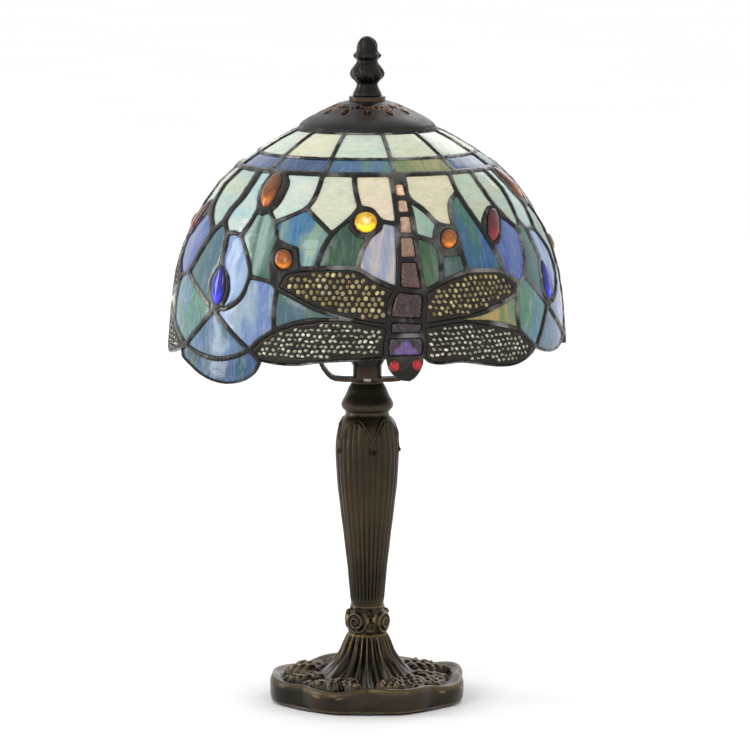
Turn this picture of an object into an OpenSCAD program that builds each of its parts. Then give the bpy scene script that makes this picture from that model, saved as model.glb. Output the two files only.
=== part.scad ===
// Stained glass table lamp: dragonfly dome shade on a cast leaf base.
// Millimetres, +Z up, origin at the middle of the felt's underside, front towards -Y.
// On the dome a place is an azimuth (0 at the front, positive to +X) and an arc length s
// measured down the dome from the cap's edge.

/* [Base] */
// Radius of the rim circle between the lobes
base_r = 50; // [48:0.5:52]
// Number of lobes, roots and leaf clusters round the base
base_lobes = 8; // [6:1:10]
// Thickness of the felt under the base
felt_t = 1.5; // [1:0.5:2.5]

/* [Stem] */
// Number of ribs round the fluted vase
stem_ribs = 18; // [12:1:22]
// How far the ribs stand out
rib_h = 0.7; // [0.4:0.1:1]
// Radius of the threaded tube that clamps the stack
rod_r = 4.8; // [4.5:0.1:5]

/* [Shade] */
// Number of panes in the crown and in the blue band
crown_panes = 12; // [8:1:16]
// Azimuth of the front dragonfly
dragonfly_az = 12; // [11:1:13]
// Half the width of the lead between two panes
lead_half = 1.35; // [1:0.05:1.6]
// How far the lead stands out from the dome's middle surface
lead_out = 1.2; // [0.9:0.1:1.5]
// How far the lead reaches in from the middle surface
lead_in = 2.2; // [1.8:0.1:2.6]

/* [Finial and fitting] */
// Radius of the stud that holds the shade
stud_r = 3; // [2.5:0.1:3.2]
// Gap between turning parts
run_gap = 0.05; // [0.02:0.01:0.1]
// Radius of the bulb's globe
globe_r = 22.5; // [20:0.5:23]

/* [Hidden] */
$fn = 72;

// Heights of the stack, from the table up
base_top = 34.7;
knot_top = 49.5;
stem_top = 151.5;
neck_top = 167.4;
strip_t = 2;              // thickness of the harp's strip
strip_w = 9;
harp_mid = 299;           // middle of the strip at the harp's crown
holder_z = 179.5;         // underside of the lampholder
body_z = 188;             // where the lampholder's body starts
body_top = 214;
bulb_z = 194;             // lower end of the bulb's screw cap
globe_z = 241;
seat_z = 311.8;           // where the cap's hub rests
hub_top = 313.4;
washer_top = 315.6;
finial_top = 346.7;
rod_gap = 0.1;            // clearance round the threaded tube

// Outer outline of the dome, radius and height, from the cap's edge down to below the rim
DOME = [[35.5, 299], [45, 294.2], [54.5, 288.5], [66.5, 280.3], [75.5, 271.5], [83, 261.5],
    [89.5, 250.5], [94.8, 238.5], [98.3, 226], [100.3, 213], [101.5, 200], [102.5, 187],
    [103, 172], [103, 150]];
function run_to(i) = i == 0 ? 0 : run_to(i - 1) + norm(DOME[i] - DOME[i - 1]);
DOME_R = [for (i = [0:len(DOME) - 1]) [run_to(i), DOME[i][0]]];
DOME_Z = [for (i = [0:len(DOME) - 1]) [run_to(i), DOME[i][1]]];
slope_step = 4;           // half the span over which the dome's slope is read
function dome(s) = [lookup(s, DOME_R), lookup(s, DOME_Z)];
function out_dir(s) = let (d = dome(s + slope_step) - dome(s - slope_step)) [-d.y, d.x] / norm(d);
function on_profile(s, out) = dome(s) + out * out_dir(s);
function on_dome(az, s, out) = let (p = on_profile(s, out)) [p.x * sin(az), -p.x * cos(az), p.y];

// Rows of the shade, as arc lengths down the dome
crown_s = 1.5;
band_s = 23.5;
mosaic_s = 36;
came_half = 0.95;
seam_gap = 0.15;          // between the last came ring and the mosaic
bar_deg = 3;              // angle that one lead bar of the crown takes
glass_out = 0.5;
putty_gap = 0.06;         // between a pane or jewel and the lead that holds it
glass_in = 1.7;
filigree_t = 0.8;
green_pane = 6;           // the pane of the band that is green, counted from the one left of the dragonfly

// The mosaic repeats three times. Sector angles run from one flower's middle to the next, and
// each sector has its own azimuths for its start, its right wing tips and its end.
SECTOR_T = [-50, 50, 66];
SECTOR_AZ = [[-50, 50, 66], [66, 171, 188], [188, 284, 310]];
sector_span = 116;
next = 200;               // a point number raised by this is the same point one sector on
function azimuth(k, t) = t < SECTOR_T[0] ? azimuth((k + 2) % 3, t + sector_span) - (k == 0 ? 360 : 0)
    : t > SECTOR_T[2] ? azimuth((k + 1) % 3, t - sector_span) + (k == 2 ? 360 : 0)
    : lookup(t, [for (j = [0:2]) [SECTOR_T[j], SECTOR_AZ[k][j]]]) + dragonfly_az - 12;

// Points of the mosaic: sector angle and arc length
PT = [
    [-53, 36], [-45, 36], [-38.5, 36], [-19.5, 36], [-5.5, 36],              // 0
    [10.3, 36], [15.7, 36], [38.3, 36], [51.8, 36], [-52, 44.5],
    [-52, 53], [-53.5, 61.5], [-54, 67.5], [-52.5, 71.5], [-51.2, 74.5],     // 10
    [-45, 75], [-45.5, 44], [-44.5, 52.5], [-42, 60.5], [-39.5, 62],
    [-36.5, 60], [-34.5, 56], [-33.5, 48], [-34.5, 42], [-32.5, 66.5],       // 20
    [-22, 57.5], [-20, 51.5], [-19.5, 46], [-30, 76], [-30.5, 85],
    [-30, 91.5], [-29, 98], [-37.3, 95.5], [-38.3, 89.5], [-41, 82.5],       // 30
    [-43.2, 69], [-11.5, 71.5], [-14, 80], [-15.5, 89.8], [-21, 90.5],
    [-22.5, 80], [-27, 78], [-25.5, 92.8], [-27.8, 112], [-27.3, 100.5],     // 40
    [-5, 42], [-4, 49], [-2.6, 56.2], [-5, 61.5], [-5.3, 67.5],
    [1.5, 57.8], [4.8, 64], [4.2, 68], [0.8, 72.8], [-2.5, 72],              // 50
    [10.3, 41], [10.3, 66], [-1.5, 80], [-3, 89.6], [-9, 89.2],
    [9.9, 72], [9.6, 85], [9, 100], [3, 95.5], [7.3, 104],                   // 60
    [6.2, 111], [6.2, 118.5], [-7, 114.4], [-14, 110.5], [-20, 106],
    [-16, 115.8], [-22, 118], [-27.5, 121.8], [-50.3, 114], [-45, 112.5],    // 70
    [-39.5, 106], [-32.5, 127.5], [-35.5, 132.4], [-46.8, 111], [-45.2, 104.5],
    [-46, 97.5], [-49.7, 90.5], [-50.3, 82], [-48.5, 73.8], [-51.5, 106.5],  // 80
    [-51.3, 98.5], [-56.5, 74.5], [-55.5, 106], [-61.3, 97.5], [-59.3, 90],
    [-58, 82.5], [50.8, 48.5], [52.3, 59], [55.3, 67], [48, 60],             // 90
    [44, 64.7], [41, 71], [39, 62], [37.7, 55], [36.9, 48.5],
    [37.6, 42], [32, 54.3], [30.3, 61.3], [30, 68.8], [24.5, 66.5],          // 100
    [19.5, 56.7], [15.7, 51], [22.8, 71], [22, 76], [15.7, 72.5],
    [15.7, 60.5], [30.5, 76], [30.7, 82.5], [27, 83], [23.5, 82.8],          // 110
    [22.8, 90], [22.5, 97], [16.8, 101.5], [15.8, 85], [31, 88],
    [31.6, 92.3], [28, 93.8], [42, 75.5], [38, 92.5], [44.8, 94],            // 120
    [51.8, 64], [49.3, 71.5], [46.3, 77.8], [43.2, 80], [50.8, 100.8],
    [44.6, 88], [48, 97.5], [17.2, 53.8], [17, 106], [16.5, 111],            // 130
    [16.4, 118.5], [49.5, 106], [42, 110], [36, 113.2], [27.5, 116.4],
    [48.9, 115], [49.2, 124.3], [44, 121.4], [37, 118.8], [53, 129.5],       // 140
    [56.8, 134.7], [55, 137], [51, 140], [46, 141.8], [40, 141.5],
    [34, 139.8], [28, 138], [18, 137.3], [16.7, 128], [-33.5, 134.8],        // 150
    [-31.5, 137.8], [-26, 138.9], [-20, 138.9], [-13, 137], [-3, 135.8],
    [5.3, 127], [-54.3, 124], [-43, 123.5], [-41, 136.5], [-48, 138.6],      // 160
    [-53.5, 137.6], [-32.3, 141], [-33.8, 144.5], [-37.5, 148.5], [-42.5, 150.6],
    [-48, 150.6], [-53, 148.3], [-57.5, 144], [-60.3, 141.3], [15.8, 138],   // 170
    [13.7, 144], [12, 146], [9.5, 145.3], [6.3, 140.5], [10.3, 51],
    [10.3, 60.5], [15.7, 41], [16.2, 116], [6.4, 115], [16, 123],            // 180
    [5.8, 123], [16, 134.5], [5.3, 134.5], [-29, 36], [-12, 36],
    [2.5, 36], [23, 36], [31, 36], [45, 36], [57, 36]];                      // 190

// Cells of one sector: group, kind of window, and the points clockwise as seen from outside.
// A shaped window also has its middle, its half width, its half length and its lean.
CELLS = [
    ["cream", "pane", [0, 1, 16, 17, 18, 35, 15, 83, 14, 13, 12, 11, 10, 9]],
    ["cream", "pane", [2, 188, 3, 27, 26, 25, 24, 20, 21, 22, 23]],
    ["cream", "pane", [3, 189, 4, 45, 46, 47, 48, 36, 25, 26, 27]],
    ["cream", "pane", [4, 190, 5, 55, 179, 180, 56, 51, 50, 47, 46, 45]],
    ["cream", "pane", [6, 191, 192, 7, 100, 99, 101, 102, 103, 104, 105, 132, 106, 181]],
    ["cream", "pane", [7, 193, 8, 91, 92, 94, 95, 96, 97, 98, 99, 100]],
    ["cream", "pane", [8, 194, 200, 209, 210, 211, 212, 286, 93, 92, 91]],
    ["teardrop", "drop", [1, 2, 23, 22, 21, 20, 19, 18, 17, 16], [-40.3, 47.5], 5, 11.5, 22],
    ["blue", "pane", [86, 12, 13, 14, 82, 81, 85, 84, 73, 87, 88, 89, 90]],
    ["blue", "pane", [14, 83, 15, 34, 33, 32, 75, 74, 73, 78, 79, 80, 81, 82]],
    ["marquise", "drop", [81, 80, 79, 78, 73, 84, 85], [-48.8, 101.8], 4.4, 10.4, 10],
    ["green", "pane", [18, 19, 20, 24, 28, 29, 30, 31, 32, 33, 34, 15, 35]],
    ["blue", "pane", [25, 36, 37, 38, 39, 40, 41, 28, 24]],
    ["cabochon", "oval", [28, 41, 40, 39, 42, 30, 29], [-26.2, 85.5], 5.2, 5.2, 0],
    ["lead", "solid", [30, 42, 44, 31]],
    ["green", "pane", [36, 48, 49, 54, 53, 57, 58, 59, 38, 37]],
    ["cabochon", "oval", [47, 50, 51, 52, 53, 54, 49, 48], [-0.4, 64.8], 5.6, 5.7, 0],
    ["blue", "pane", [51, 56, 60, 61, 62, 63, 58, 57, 53, 52]],
    ["green", "pane", [106, 132, 105, 104, 107, 108, 109, 110]],
    ["cabochon", "oval", [104, 103, 111, 112, 113, 114, 108, 107], [27, 74.8], 4.6, 5.2, 0],
    ["green", "pane", [109, 108, 114, 115, 116, 117, 118]],
    ["green", "pane", [114, 113, 112, 119, 120, 121, 116, 115]],
    ["blue", "pane", [99, 98, 97, 96, 122, 128, 130, 124, 123, 120, 119, 112, 111, 103, 102, 101]],
    ["garnet", "oval", [94, 92, 125, 126, 127, 128, 122, 96, 95], [46.8, 69], 4.4, 9, 8],
    ["lead", "solid", [92, 93, 125]],
    ["blue", "pane", [288, 129, 131, 124, 130, 128, 127, 126, 125, 93, 286, 290, 289]],
    ["wing", "pane", [62, 64, 65, 183, 66, 67, 68, 69, 44, 42, 39, 38, 59, 58, 63]],
    ["green", "pane", [44, 69, 68, 67, 70, 71, 72, 43]],
    ["wing", "pane", [72, 71, 70, 67, 66, 185, 160, 187, 159, 158, 157, 156, 155, 154, 77, 76]],
    ["wing", "pane", [117, 116, 121, 120, 123, 124, 131, 129, 136, 137, 138, 139, 135, 182, 134, 133]],
    ["green", "pane", [139, 138, 137, 136, 140, 141, 142, 143]],
    ["wing", "pane", [135, 139, 143, 142, 141, 144, 145, 146, 147, 148, 149, 150, 151, 152, 186, 153, 184]],
    ["petal", "pane", [73, 74, 75, 32, 31, 44, 43, 72, 76, 77, 162]],
    ["petal", "pane", [129, 288, 287, 273, 361, 145, 144, 141, 140, 136]],
    ["petal", "pane", [273, 362, 277, 363, 364, 365, 145, 361]],
    ["rim", "pane", [145, 365, 364, 363, 277, 354, 355, 366, 367, 368, 369, 370, 371, 372, 373, 146]],
    ["lead", "solid", [5, 6, 181, 55]],
    ["tail", "pane", [55, 181, 106, 179]],
    ["tail", "pane", [179, 106, 110, 180]],
    ["tail", "pane", [180, 110, 109, 60, 56]],
    ["tail", "pane", [60, 109, 118, 61]],
    ["tail", "pane", [61, 118, 117, 62]],
    ["body", "pane", [62, 117, 133, 134, 182, 183, 65, 64]],
    ["body", "pane", [183, 182, 135, 184, 185, 66]],
    ["body", "pane", [185, 184, 153, 186, 187, 160]],
    ["lead", "solid", [187, 186, 174, 175, 176, 177, 178]]];
// Sectors whose flower, at the sector's end, has a rim pane hanging below it
RIM_SECTORS = [2, 1];
function used(k, cell) = cell[0] != "rim" || len([for (r = RIM_SECTORS) if (r == k) r]) > 0;
INSTANCES = [for (k = [0:2]) for (c = CELLS) if (used(k, c)) [k, c]];

// Flat map of the dome for one cell: millimetres across and millimetres down
function across(t, s) = t * PI / 180 * lookup(s, DOME_R);
function raw(i) = [PT[i % next].x + (i >= next ? sector_span : 0), PT[i % next].y];
function flat(p) = [across(p.x, p.y), p.y];
function unflat(q) = [q.x * 180 / PI / lookup(q.y, DOME_R), q.y];
function unit(v) = v / norm(v);
miter_max = 3.2;
function inset(q, w) = let (n = len(q)) [for (i = [0:n - 1])
    let (a = unit(q[i] - q[(i + n - 1) % n]), b = unit(q[(i + 1) % n] - q[i]),
         m = [-a.y - b.y, a.x + b.x], f = min(miter_max, 1 / (1 + a * b)))
    q[i] + w * f * m];
// Distance from the middle of a shaped window to its edge, in the direction d
function oval_reach(d, a, b) = 1 / norm([d.x / a, d.y / b]);
function shaped(q, m, a, b, lean) = [for (p = q)
    let (v = p - m, u = unit([v.x * cos(lean) + v.y * sin(lean), -v.x * sin(lean) + v.y * cos(lean)]),
         r = oval_reach(u, a, b))
    m + r * [u.x * cos(lean) - u.y * sin(lean), u.x * sin(lean) + u.y * cos(lean)]];
function window(c) = let (q = [for (i = c[2]) flat(raw(i))])
    c[1] == "pane" ? inset(q, lead_half) : shaped(q, flat(c[3]), c[4], c[5], c[6]);
function loop_on(k, q, out) = [for (p = q) let (u = unflat(p)) on_dome(azimuth(k, u.x), u.y, out)];

// Ear clipping of a flat outline, the ear with the shortest cut first
function turns(a, b, c) = (b.x - a.x) * (c.y - a.y) - (b.y - a.y) * (c.x - a.x);
function holds(a, b, c, p) = turns(a, b, p) > 0 && turns(b, c, p) > 0 && turns(c, a, p) > 0;
function is_ear(q, ids, i) = let (n = len(ids), a = ids[(i + n - 1) % n], b = ids[i], c = ids[(i + 1) % n])
    turns(q[a], q[b], q[c]) > 0
    && len([for (j = ids) if (j != a && j != b && j != c && holds(q[a], q[b], q[c], q[j])) j]) == 0;
function cut_of(q, ids, i) = let (n = len(ids)) norm(q[ids[(i + n - 1) % n]] - q[ids[(i + 1) % n]]);
function ears(q, ids) = len(ids) == 3 ? [ids]
    : let (n = len(ids), open = [for (i = [0:n - 1]) if (is_ear(q, ids, i)) [cut_of(q, ids, i), i]],
           short = min([for (e = open) e[0]]), e = [for (o = open) if (o[0] == short) o[1]][0])
      concat([[ids[(e + n - 1) % n], ids[e], ids[(e + 1) % n]]],
             ears(q, [for (i = [0:n - 1]) if (i != e) ids[i]]));
function triangles(q) = ears(q, [for (i = [0:len(q) - 1]) i]);

// One closed plate over a window, from out to in, its faces numbered from first
function plate_points(k, q, out, in) = concat(loop_on(k, q, out), loop_on(k, q, in));
function plate_faces(q, first) = let (n = len(q)) concat(
    [for (t = triangles(q)) [first + t[0], first + t[1], first + t[2]]],
    [for (t = triangles(q)) [first + n + t[0], first + n + t[2], first + n + t[1]]],
    [for (i = [0:n - 1]) let (j = (i + 1) % n) [first + j, first + i, first + n + j]],
    [for (i = [0:n - 1]) let (j = (i + 1) % n) [first + i, first + n + i, first + n + j]]);
function total(v, i = 0) = i >= len(v) ? 0 : v[i] + total(v, i + 1);
function starts(n) = [for (i = 0, s = 0; i < len(n); s = s + n[i], i = i + 1) s];
module plates(group, out, in) {
    mine = [for (e = INSTANCES) if (e[1][0] == group) e];
    loops = [for (e = mine) inset(window(e[1]), putty_gap)];
    first = starts([for (q = loops) 2 * len(q)]);
    points = [for (i = [0:len(mine) - 1]) each plate_points(mine[i][0], loops[i], out, in)];
    faces = [for (i = [0:len(mine) - 1]) each plate_faces(loops[i], first[i])];
    polyhedron(points, faces, convexity = 10);
}

// The lead: a ring round each window and a full plate where there is none, all one solid
NP = len(PT);
function vertex(k, i) = ((k + (i >= next ? 1 : 0)) % 3) * NP + i % next;
module lead_polyhedron() {
    sheet = [for (k = [0:2]) for (p = PT) [azimuth(k, p.x), p.y]];
    ns = len(sheet);
    corners = [for (e = INSTANCES) [for (i = e[1][2]) vertex(e[0], i)]];
    edges = [for (c = corners) for (i = [0:len(c) - 1]) c[(i + 1) % len(c)] * ns + c[i]];
    rings = [for (i = [0:len(INSTANCES) - 1]) if (INSTANCES[i][1][1] != "solid") i];
    loops = [for (i = rings) window(INSTANCES[i][1])];
    first = starts([for (q = loops) 2 * len(q)]);
    points = concat([for (p = sheet) on_dome(p[0], p[1], lead_out)],
        [for (p = sheet) on_dome(p[0], p[1], -lead_in)],
        [for (i = [0:len(rings) - 1])
            each plate_points(INSTANCES[rings[i]][0], loops[i], lead_out, -lead_in)]);
    ring_faces = [for (i = [0:len(rings) - 1])
        let (c = corners[rings[i]], n = len(c), w = 2 * ns + first[i])
        for (a = [0:n - 1]) let (b = (a + 1) % n)
        each [[c[a], c[b], w + b], [c[a], w + b, w + a],
              [ns + c[a], w + n + a, w + n + b], [ns + c[a], w + n + b, ns + c[b]],
              [w + a, w + b, w + n + b], [w + a, w + n + b, w + n + a]]];
    solid_faces = [for (i = [0:len(INSTANCES) - 1]) if (INSTANCES[i][1][1] == "solid")
        let (c = corners[i], q = [for (j = INSTANCES[i][1][2]) flat(raw(j))])
        for (t = triangles(q)) each [[c[t[0]], c[t[1]], c[t[2]]],
                                     [ns + c[t[0]], ns + c[t[2]], ns + c[t[1]]]]];
    edge_faces = [for (c = corners) for (i = [0:len(c) - 1])
        let (a = c[i], b = c[(i + 1) % len(c)])
        if (len(search(a * ns + b, edges)) == 0)
        each [[b, a, ns + a], [b, ns + a, ns + b]]];
    polyhedron(points, concat(ring_faces, solid_faces, edge_faces), convexity = 10);
}

// A strip of the dome's profile between two arc lengths
profile_step = 5;
function steps(s0, s1) = let (n = ceil((s1 - s0) / profile_step)) [for (i = [0:n]) s0 + (s1 - s0) * i / n];
function strip_outline(s0, s1, out, in) = let (v = steps(s0, s1), n = len(v))
    concat([for (s = v) on_profile(s, out)], [for (i = [n - 1:-1:0]) on_profile(v[i], in)]);
module dome_sector(az, width, s0, s1, out, in)
    rotate([0, 0, az - 90]) rotate_extrude(angle = width) polygon(strip_outline(s0, s1, out, in));
pane_deg = 360 / crown_panes;
band_end = mosaic_s - 2 * came_half - seam_gap;
module crown_sector(i, s0, s1, out, in)
    dome_sector(dragonfly_az + pane_deg * i + bar_deg / 2, pane_deg - bar_deg, s0, s1, out, in);
module band_panes(numbers)
    for (i = numbers) crown_sector(i, band_s + came_half, band_end, glass_out, -glass_in);

// Cut corners of an outline once, so that a bend comes out as a curve
function rounded(p) = concat([p[0]],
    [for (i = [0:len(p) - 2]) each [0.75 * p[i] + 0.25 * p[i + 1], 0.25 * p[i] + 0.75 * p[i + 1]]],
    [p[len(p) - 1]]);
module lathe(points) rotate_extrude() polygon(points);
module ring(r_in, r_out, z0, z1)
    lathe([[r_in, z0], [r_out, z0], [r_out, z1], [r_in, z1]]);
module hex_nut(r_in, r_out, z0, z1)
    difference() {
        translate([0, 0, z0]) cylinder(r = r_out, h = z1 - z0, $fn = 6);
        translate([0, 0, z0 - 1]) cylinder(r = r_in, h = z1 - z0 + 2);
    }

module base_felt() color("darkgreen") cylinder(r = base_r - 1, h = felt_t);

// Lobed foot, dished top, roots running into the trunk, and a hollow underside
cavity_r = 45;
roof_z = 13;
gland_z = 7;
gland_r = 4.5;
lobe_r = 14;
lobe_mid = 39;            // from the lamp's axis to the middle of a lobe
lobe_h = 8.5;
DISH = [[45, 12.2], [42, 10.8], [36, 10.2], [28, 12], [21, 16.5], [16.5, 21], [14.4, 24], [12.5, 28],
    [11, 30.5], [10.2, 33]];
root_deg = 10;
root_h = 2;
module base_casting() color("#3a3226") difference() {
    union() {
        lathe(concat([[0, felt_t], [base_r - 0.5, felt_t], [base_r, 9], [49, 12], [47, 13]], DISH,
            [[10.2, base_top], [0, base_top]]));
        for (i = [0:base_lobes - 1]) rotate([0, 0, (i + 0.5) * 360 / base_lobes]) {
            translate([lobe_mid, 0, felt_t]) cylinder(r = lobe_r, h = lobe_h);
            rotate([0, 0, -root_deg / 2]) rotate_extrude(angle = root_deg)
                polygon(concat([[8, 15], [40, 9.5]], [for (j = [1:7]) DISH[j] + [0.4, root_h]], [[8, 28]]));
        }
    }
    lathe([[0, felt_t - 1], [cavity_r, felt_t - 1], [cavity_r, 8], [36, 7], [26, 8.5], [18, 11],
        [14, roof_z], [0, roof_z]]);
    translate([0, 0, roof_z - 1]) cylinder(r = rod_r + rod_gap, h = base_top);
    translate([0, cavity_r - 3, gland_z]) rotate([-90, 0, 0]) cylinder(r = gland_r, h = 15);
}
gland_len = 10;
cord_bore_r = 3.1;
module cord_grommet() color("#222222")
    translate([0, cavity_r - 1, gland_z]) rotate([-90, 0, 0]) difference() {
        cylinder(r = gland_r, h = gland_len);
        translate([0, 0, -1]) cylinder(r = cord_bore_r, h = gland_len + 2);
    }
module rod_washer() color("silver") ring(rod_r + rod_gap, 11, roof_z - 1.5, roof_z);
module rod_nut() color("goldenrod") hex_nut(rod_r, 9, roof_z - 6.5, roof_z - 1.5);
rod_bore_r = 3.3;
module threaded_rod() color("silver") ring(rod_bore_r, rod_r, 5, holder_z + 4.5);

// Rosette knot: a waisted collar with four spiral bosses
rosette_first = 56;
rosette_z = 41.5;
rosette_r = 6.6;
module knot_collar() color("#3a3226") difference() {
    union() {
        lathe([[0, base_top], [9.6, base_top], [9.9, 38], [9.4, 41], [9, 44], [8.6, 47], [8.8, knot_top],
            [0, knot_top]]);
        for (i = [0:3]) rotate([0, 0, rosette_first + 90 * i]) translate([6, 0, rosette_z]) rotate([0, 90, 0]) {
            cylinder(r = rosette_r, h = 4.6);
            translate([0, 0, 4.6]) rotate_extrude() translate([4.6, 0]) circle(r = 1.3);
            translate([0, 0, 4.2]) sphere(r = 2);
        }
    }
    translate([0, 0, base_top - 1]) cylinder(r = rod_r + rod_gap, h = 20);
    translate([0, 0, base_top - 10]) cylinder(r = 30, h = 10);
}

// Fluted vase: the core's outline, and thin ribs that follow it
STEM = [[8.6, knot_top], [8.5, 54], [9.2, 62], [10, 71], [11, 79], [12, 88], [13.1, 96], [14.1, 105],
    [15, 112], [15.5, 119], [15.9, 126], [16, 131], [15.7, 137], [15.2, 141], [14.4, 144.5],
    [12.8, 148], [11.4, 150], [11.2, stem_top]];
rib_deg = 9;
rib_z = 57;               // where the ribs start, and where they end under the neck
rib_end = 147;
module stem_casting() color("#3a3226") difference() {
    union() {
        lathe(concat([[0, knot_top]], STEM, [[0, stem_top]]));
        for (i = [0:stem_ribs - 1]) rotate([0, 0, (i + 0.3) * 360 / stem_ribs])
            rotate_extrude(angle = rib_deg)
                polygon(concat([[6, rib_z]], [for (j = [2:14]) STEM[j] + [rib_h, 0]], [[6, rib_end]]));
    }
    translate([0, 0, knot_top - 1]) cylinder(r = rod_r + rod_gap, h = 120);
}
module neck_bell() color("#33302a") difference() {
    lathe([[0, stem_top], [11.4, stem_top], [12.6, 153], [13.4, 154.3], [13.5, 155.4], [13, 157.3],
        [11.8, 159.4], [10.8, 161.5], [10, 163.6], [8.6, 165.6], [8.3, neck_top], [0, neck_top]]);
    translate([0, 0, stem_top - 1]) cylinder(r = rod_r + rod_gap, h = 20);
}

// Harp: one flat strip bent to a closed loop round the lampholder and the bulb
strip_mid = neck_top + strip_t / 2;
HALF_LOOP = [[0, strip_mid], [15.5, strip_mid], [19.5, 170], [24, 176], [28.5, 190], [31.5, 208],
    [32.5, 228], [31, 248], [26.5, 268], [19, 285], [13.5, 295.5], [9.5, harp_mid], [0, harp_mid]];
function beside(p, d) = let (n = len(p)) [for (i = [0:n - 1])
    let (v = unit(p[min(i + 1, n - 1)] - p[max(i - 1, 0)])) p[i] + d * [v.y, -v.x]];
module half_loop(d) polygon(beside(rounded(HALF_LOOP), d));
module harp() color("#33302a") difference() {
    for (side = [0, 180]) rotate([0, 0, side]) rotate([90, 0, 0])
        translate([0, 0, -strip_w / 2]) linear_extrude(strip_w) difference() {
            half_loop(strip_t / 2);
            half_loop(-strip_t / 2);
        }
    translate([0, 0, neck_top - 1]) cylinder(r = rod_r + rod_gap, h = 4);
    translate([0, 0, harp_mid - 3]) cylinder(r = stud_r + rod_gap, h = 6);
}
harp_top = neck_top + strip_t;
cup_t = 1;
module socket_cup() color("#33302a")
    lathe([[rod_r + rod_gap, harp_top], [7.5, harp_top], [7.5, 175.5], [9.5, 179], [13, 184], [15, 190],
        [15.5, 197], [14.5, 197], [14, 190], [12.1, 184.6], [8.6, 179.6], [6.5, 176], [6.5, harp_top + cup_t],
        [rod_r + rod_gap, harp_top + cup_t]]);
module harp_nut() color("goldenrod") ring(rod_r, 6.3, harp_top + cup_t, harp_top + 5);

// Lampholder
shell_r = 7.05;
module holder_cap() color("#2b2622")
    lathe([[rod_r + rod_gap, holder_z], [7.4, holder_z], [8, 181], [11, 184.8], [12.4, body_z - 0.5],
        [12.4, body_z], [rod_r + rod_gap, body_z]]);
module holder_body() color("#2b2622")
    lathe([[4, body_z], [12.8, body_z], [12.8, body_top - 1], [11.8, body_top], [shell_r + 0.6, body_top],
        [shell_r + 0.6, 192], [4, 192]]);
module holder_shell() color("goldenrod") ring(shell_r, shell_r + 0.6, 193, 212);
module holder_contact() color("goldenrod") lathe([[0, 189], [2.5, 189], [2.5, 190], [0, 190.4]]);
module terminal_block() color("ivory") translate([0, 0, 186]) cylinder(r = 4.6, h = 2);
module terminal_screws() color("silver")
    for (x = [-2.4, 2.4]) translate([x, 0, 185]) cylinder(r = 1.3, h = 1);

// Stud that carries the shade
module harp_stud() color("silver") translate([0, 0, 293]) cylinder(r = stud_r, h = 33);
module stud_lower_nut() color("goldenrod") hex_nut(stud_r, 6, harp_mid - 5, harp_mid - 1);
module stud_lock_nut() color("goldenrod") hex_nut(stud_r, 6, harp_mid + 1, harp_mid + 5);
module shade_seat() color("goldenrod") ring(stud_r, 8, harp_mid + 5, seat_z);

// Bulb
glass_t = 0.8;
neck_r = 6.2;
function globe_arc(r) = let (a0 = acos(neck_r / r))
    [for (i = [0:12]) let (a = -a0 + (90 + a0) * i / 12) [r * cos(a), globe_z + r * sin(a)]];
module bulb_glass() color("#fff4d6")
    lathe(concat([[neck_r, 208]], globe_arc(globe_r),
        [for (i = [12:-1:0]) let (p = globe_arc(globe_r)[i]) [max(0, p.x - glass_t * (i == 12 ? 0 : 1)),
            i == 12 ? p.y - glass_t : p.y - glass_t * (p.y - globe_z) / globe_r]],
        [[neck_r - glass_t, 208]]));
module bulb_cap() color("silver")
    lathe(concat([[neck_r, 212.5], [neck_r, 197], [3, 195], [3, bulb_z], [5, bulb_z], [6.5, bulb_z + 1]],
        [for (i = [0:4]) each [[6.5, 196 + 3 * i], [shell_r - 0.1, 197.5 + 3 * i]]],
        [[6.5, 211], [6.9, 212.5]]));
module bulb_insulator() color("#1a1a1a") lathe([[1.5, 191.6], [2.8, 191.6], [5, bulb_z], [1.5, bulb_z]]);
module bulb_contact() color("silver") lathe([[0, 190.5], [1.5, 191], [1.5, 192.5], [0, 192.5]]);
module bulb_mount() color("white") {
    ring(0.4, 2.2, 209, 226);
    for (x = [-1, 1]) translate([x * 3.2, 0, 226]) rotate([0, x * 10, 0]) cylinder(r = 0.4, h = 16);
}
module bulb_filament() color("orange")
    translate([0, 0, 244]) rotate_extrude(angle = 180) translate([6, 0]) circle(r = 0.5);

// Vented cap: a pressed cone with a hub, a rolled edge and a ring of piercings
vents = 12;
vent_lean = 33;
module shade_cap() color("#4a3c2a") difference() {
    lathe([[stud_r + run_gap, seat_z], [9, seat_z], [12, 311.4], [15.6, 310], [20, 308], [24.4, 306],
        [29, 304], [32.4, 302], [34, 300.6], [34, 297.6], [35.5, 297.6], [35.6, 299.5], [35, 301.6], [33, 303.4],
        [29.4, 305.4], [24.7, 307.4], [20.5, 309.5], [15.9, 311.6], [12.2, 313], [9.9, hub_top],
        [stud_r + run_gap, hub_top]]);
    for (i = [0:vents - 1]) rotate([0, 0, i * 360 / vents]) {
        translate([24.4, 0, 306.8]) rotate([0, 24, 0]) cylinder(r = 2.4, h = 8, center = true, $fn = 4);
        rotate([0, 0, 180 / vents]) translate([26.2, 0, 306]) rotate([0, 24, 0])
            cylinder(r = 1, h = 8, center = true);
        rotate([0, 0, 180 / vents]) translate([21.4, 0, 308.2]) rotate([0, 24, 0])
            cylinder(r = 0.8, h = 8, center = true);
    }
}

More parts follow.
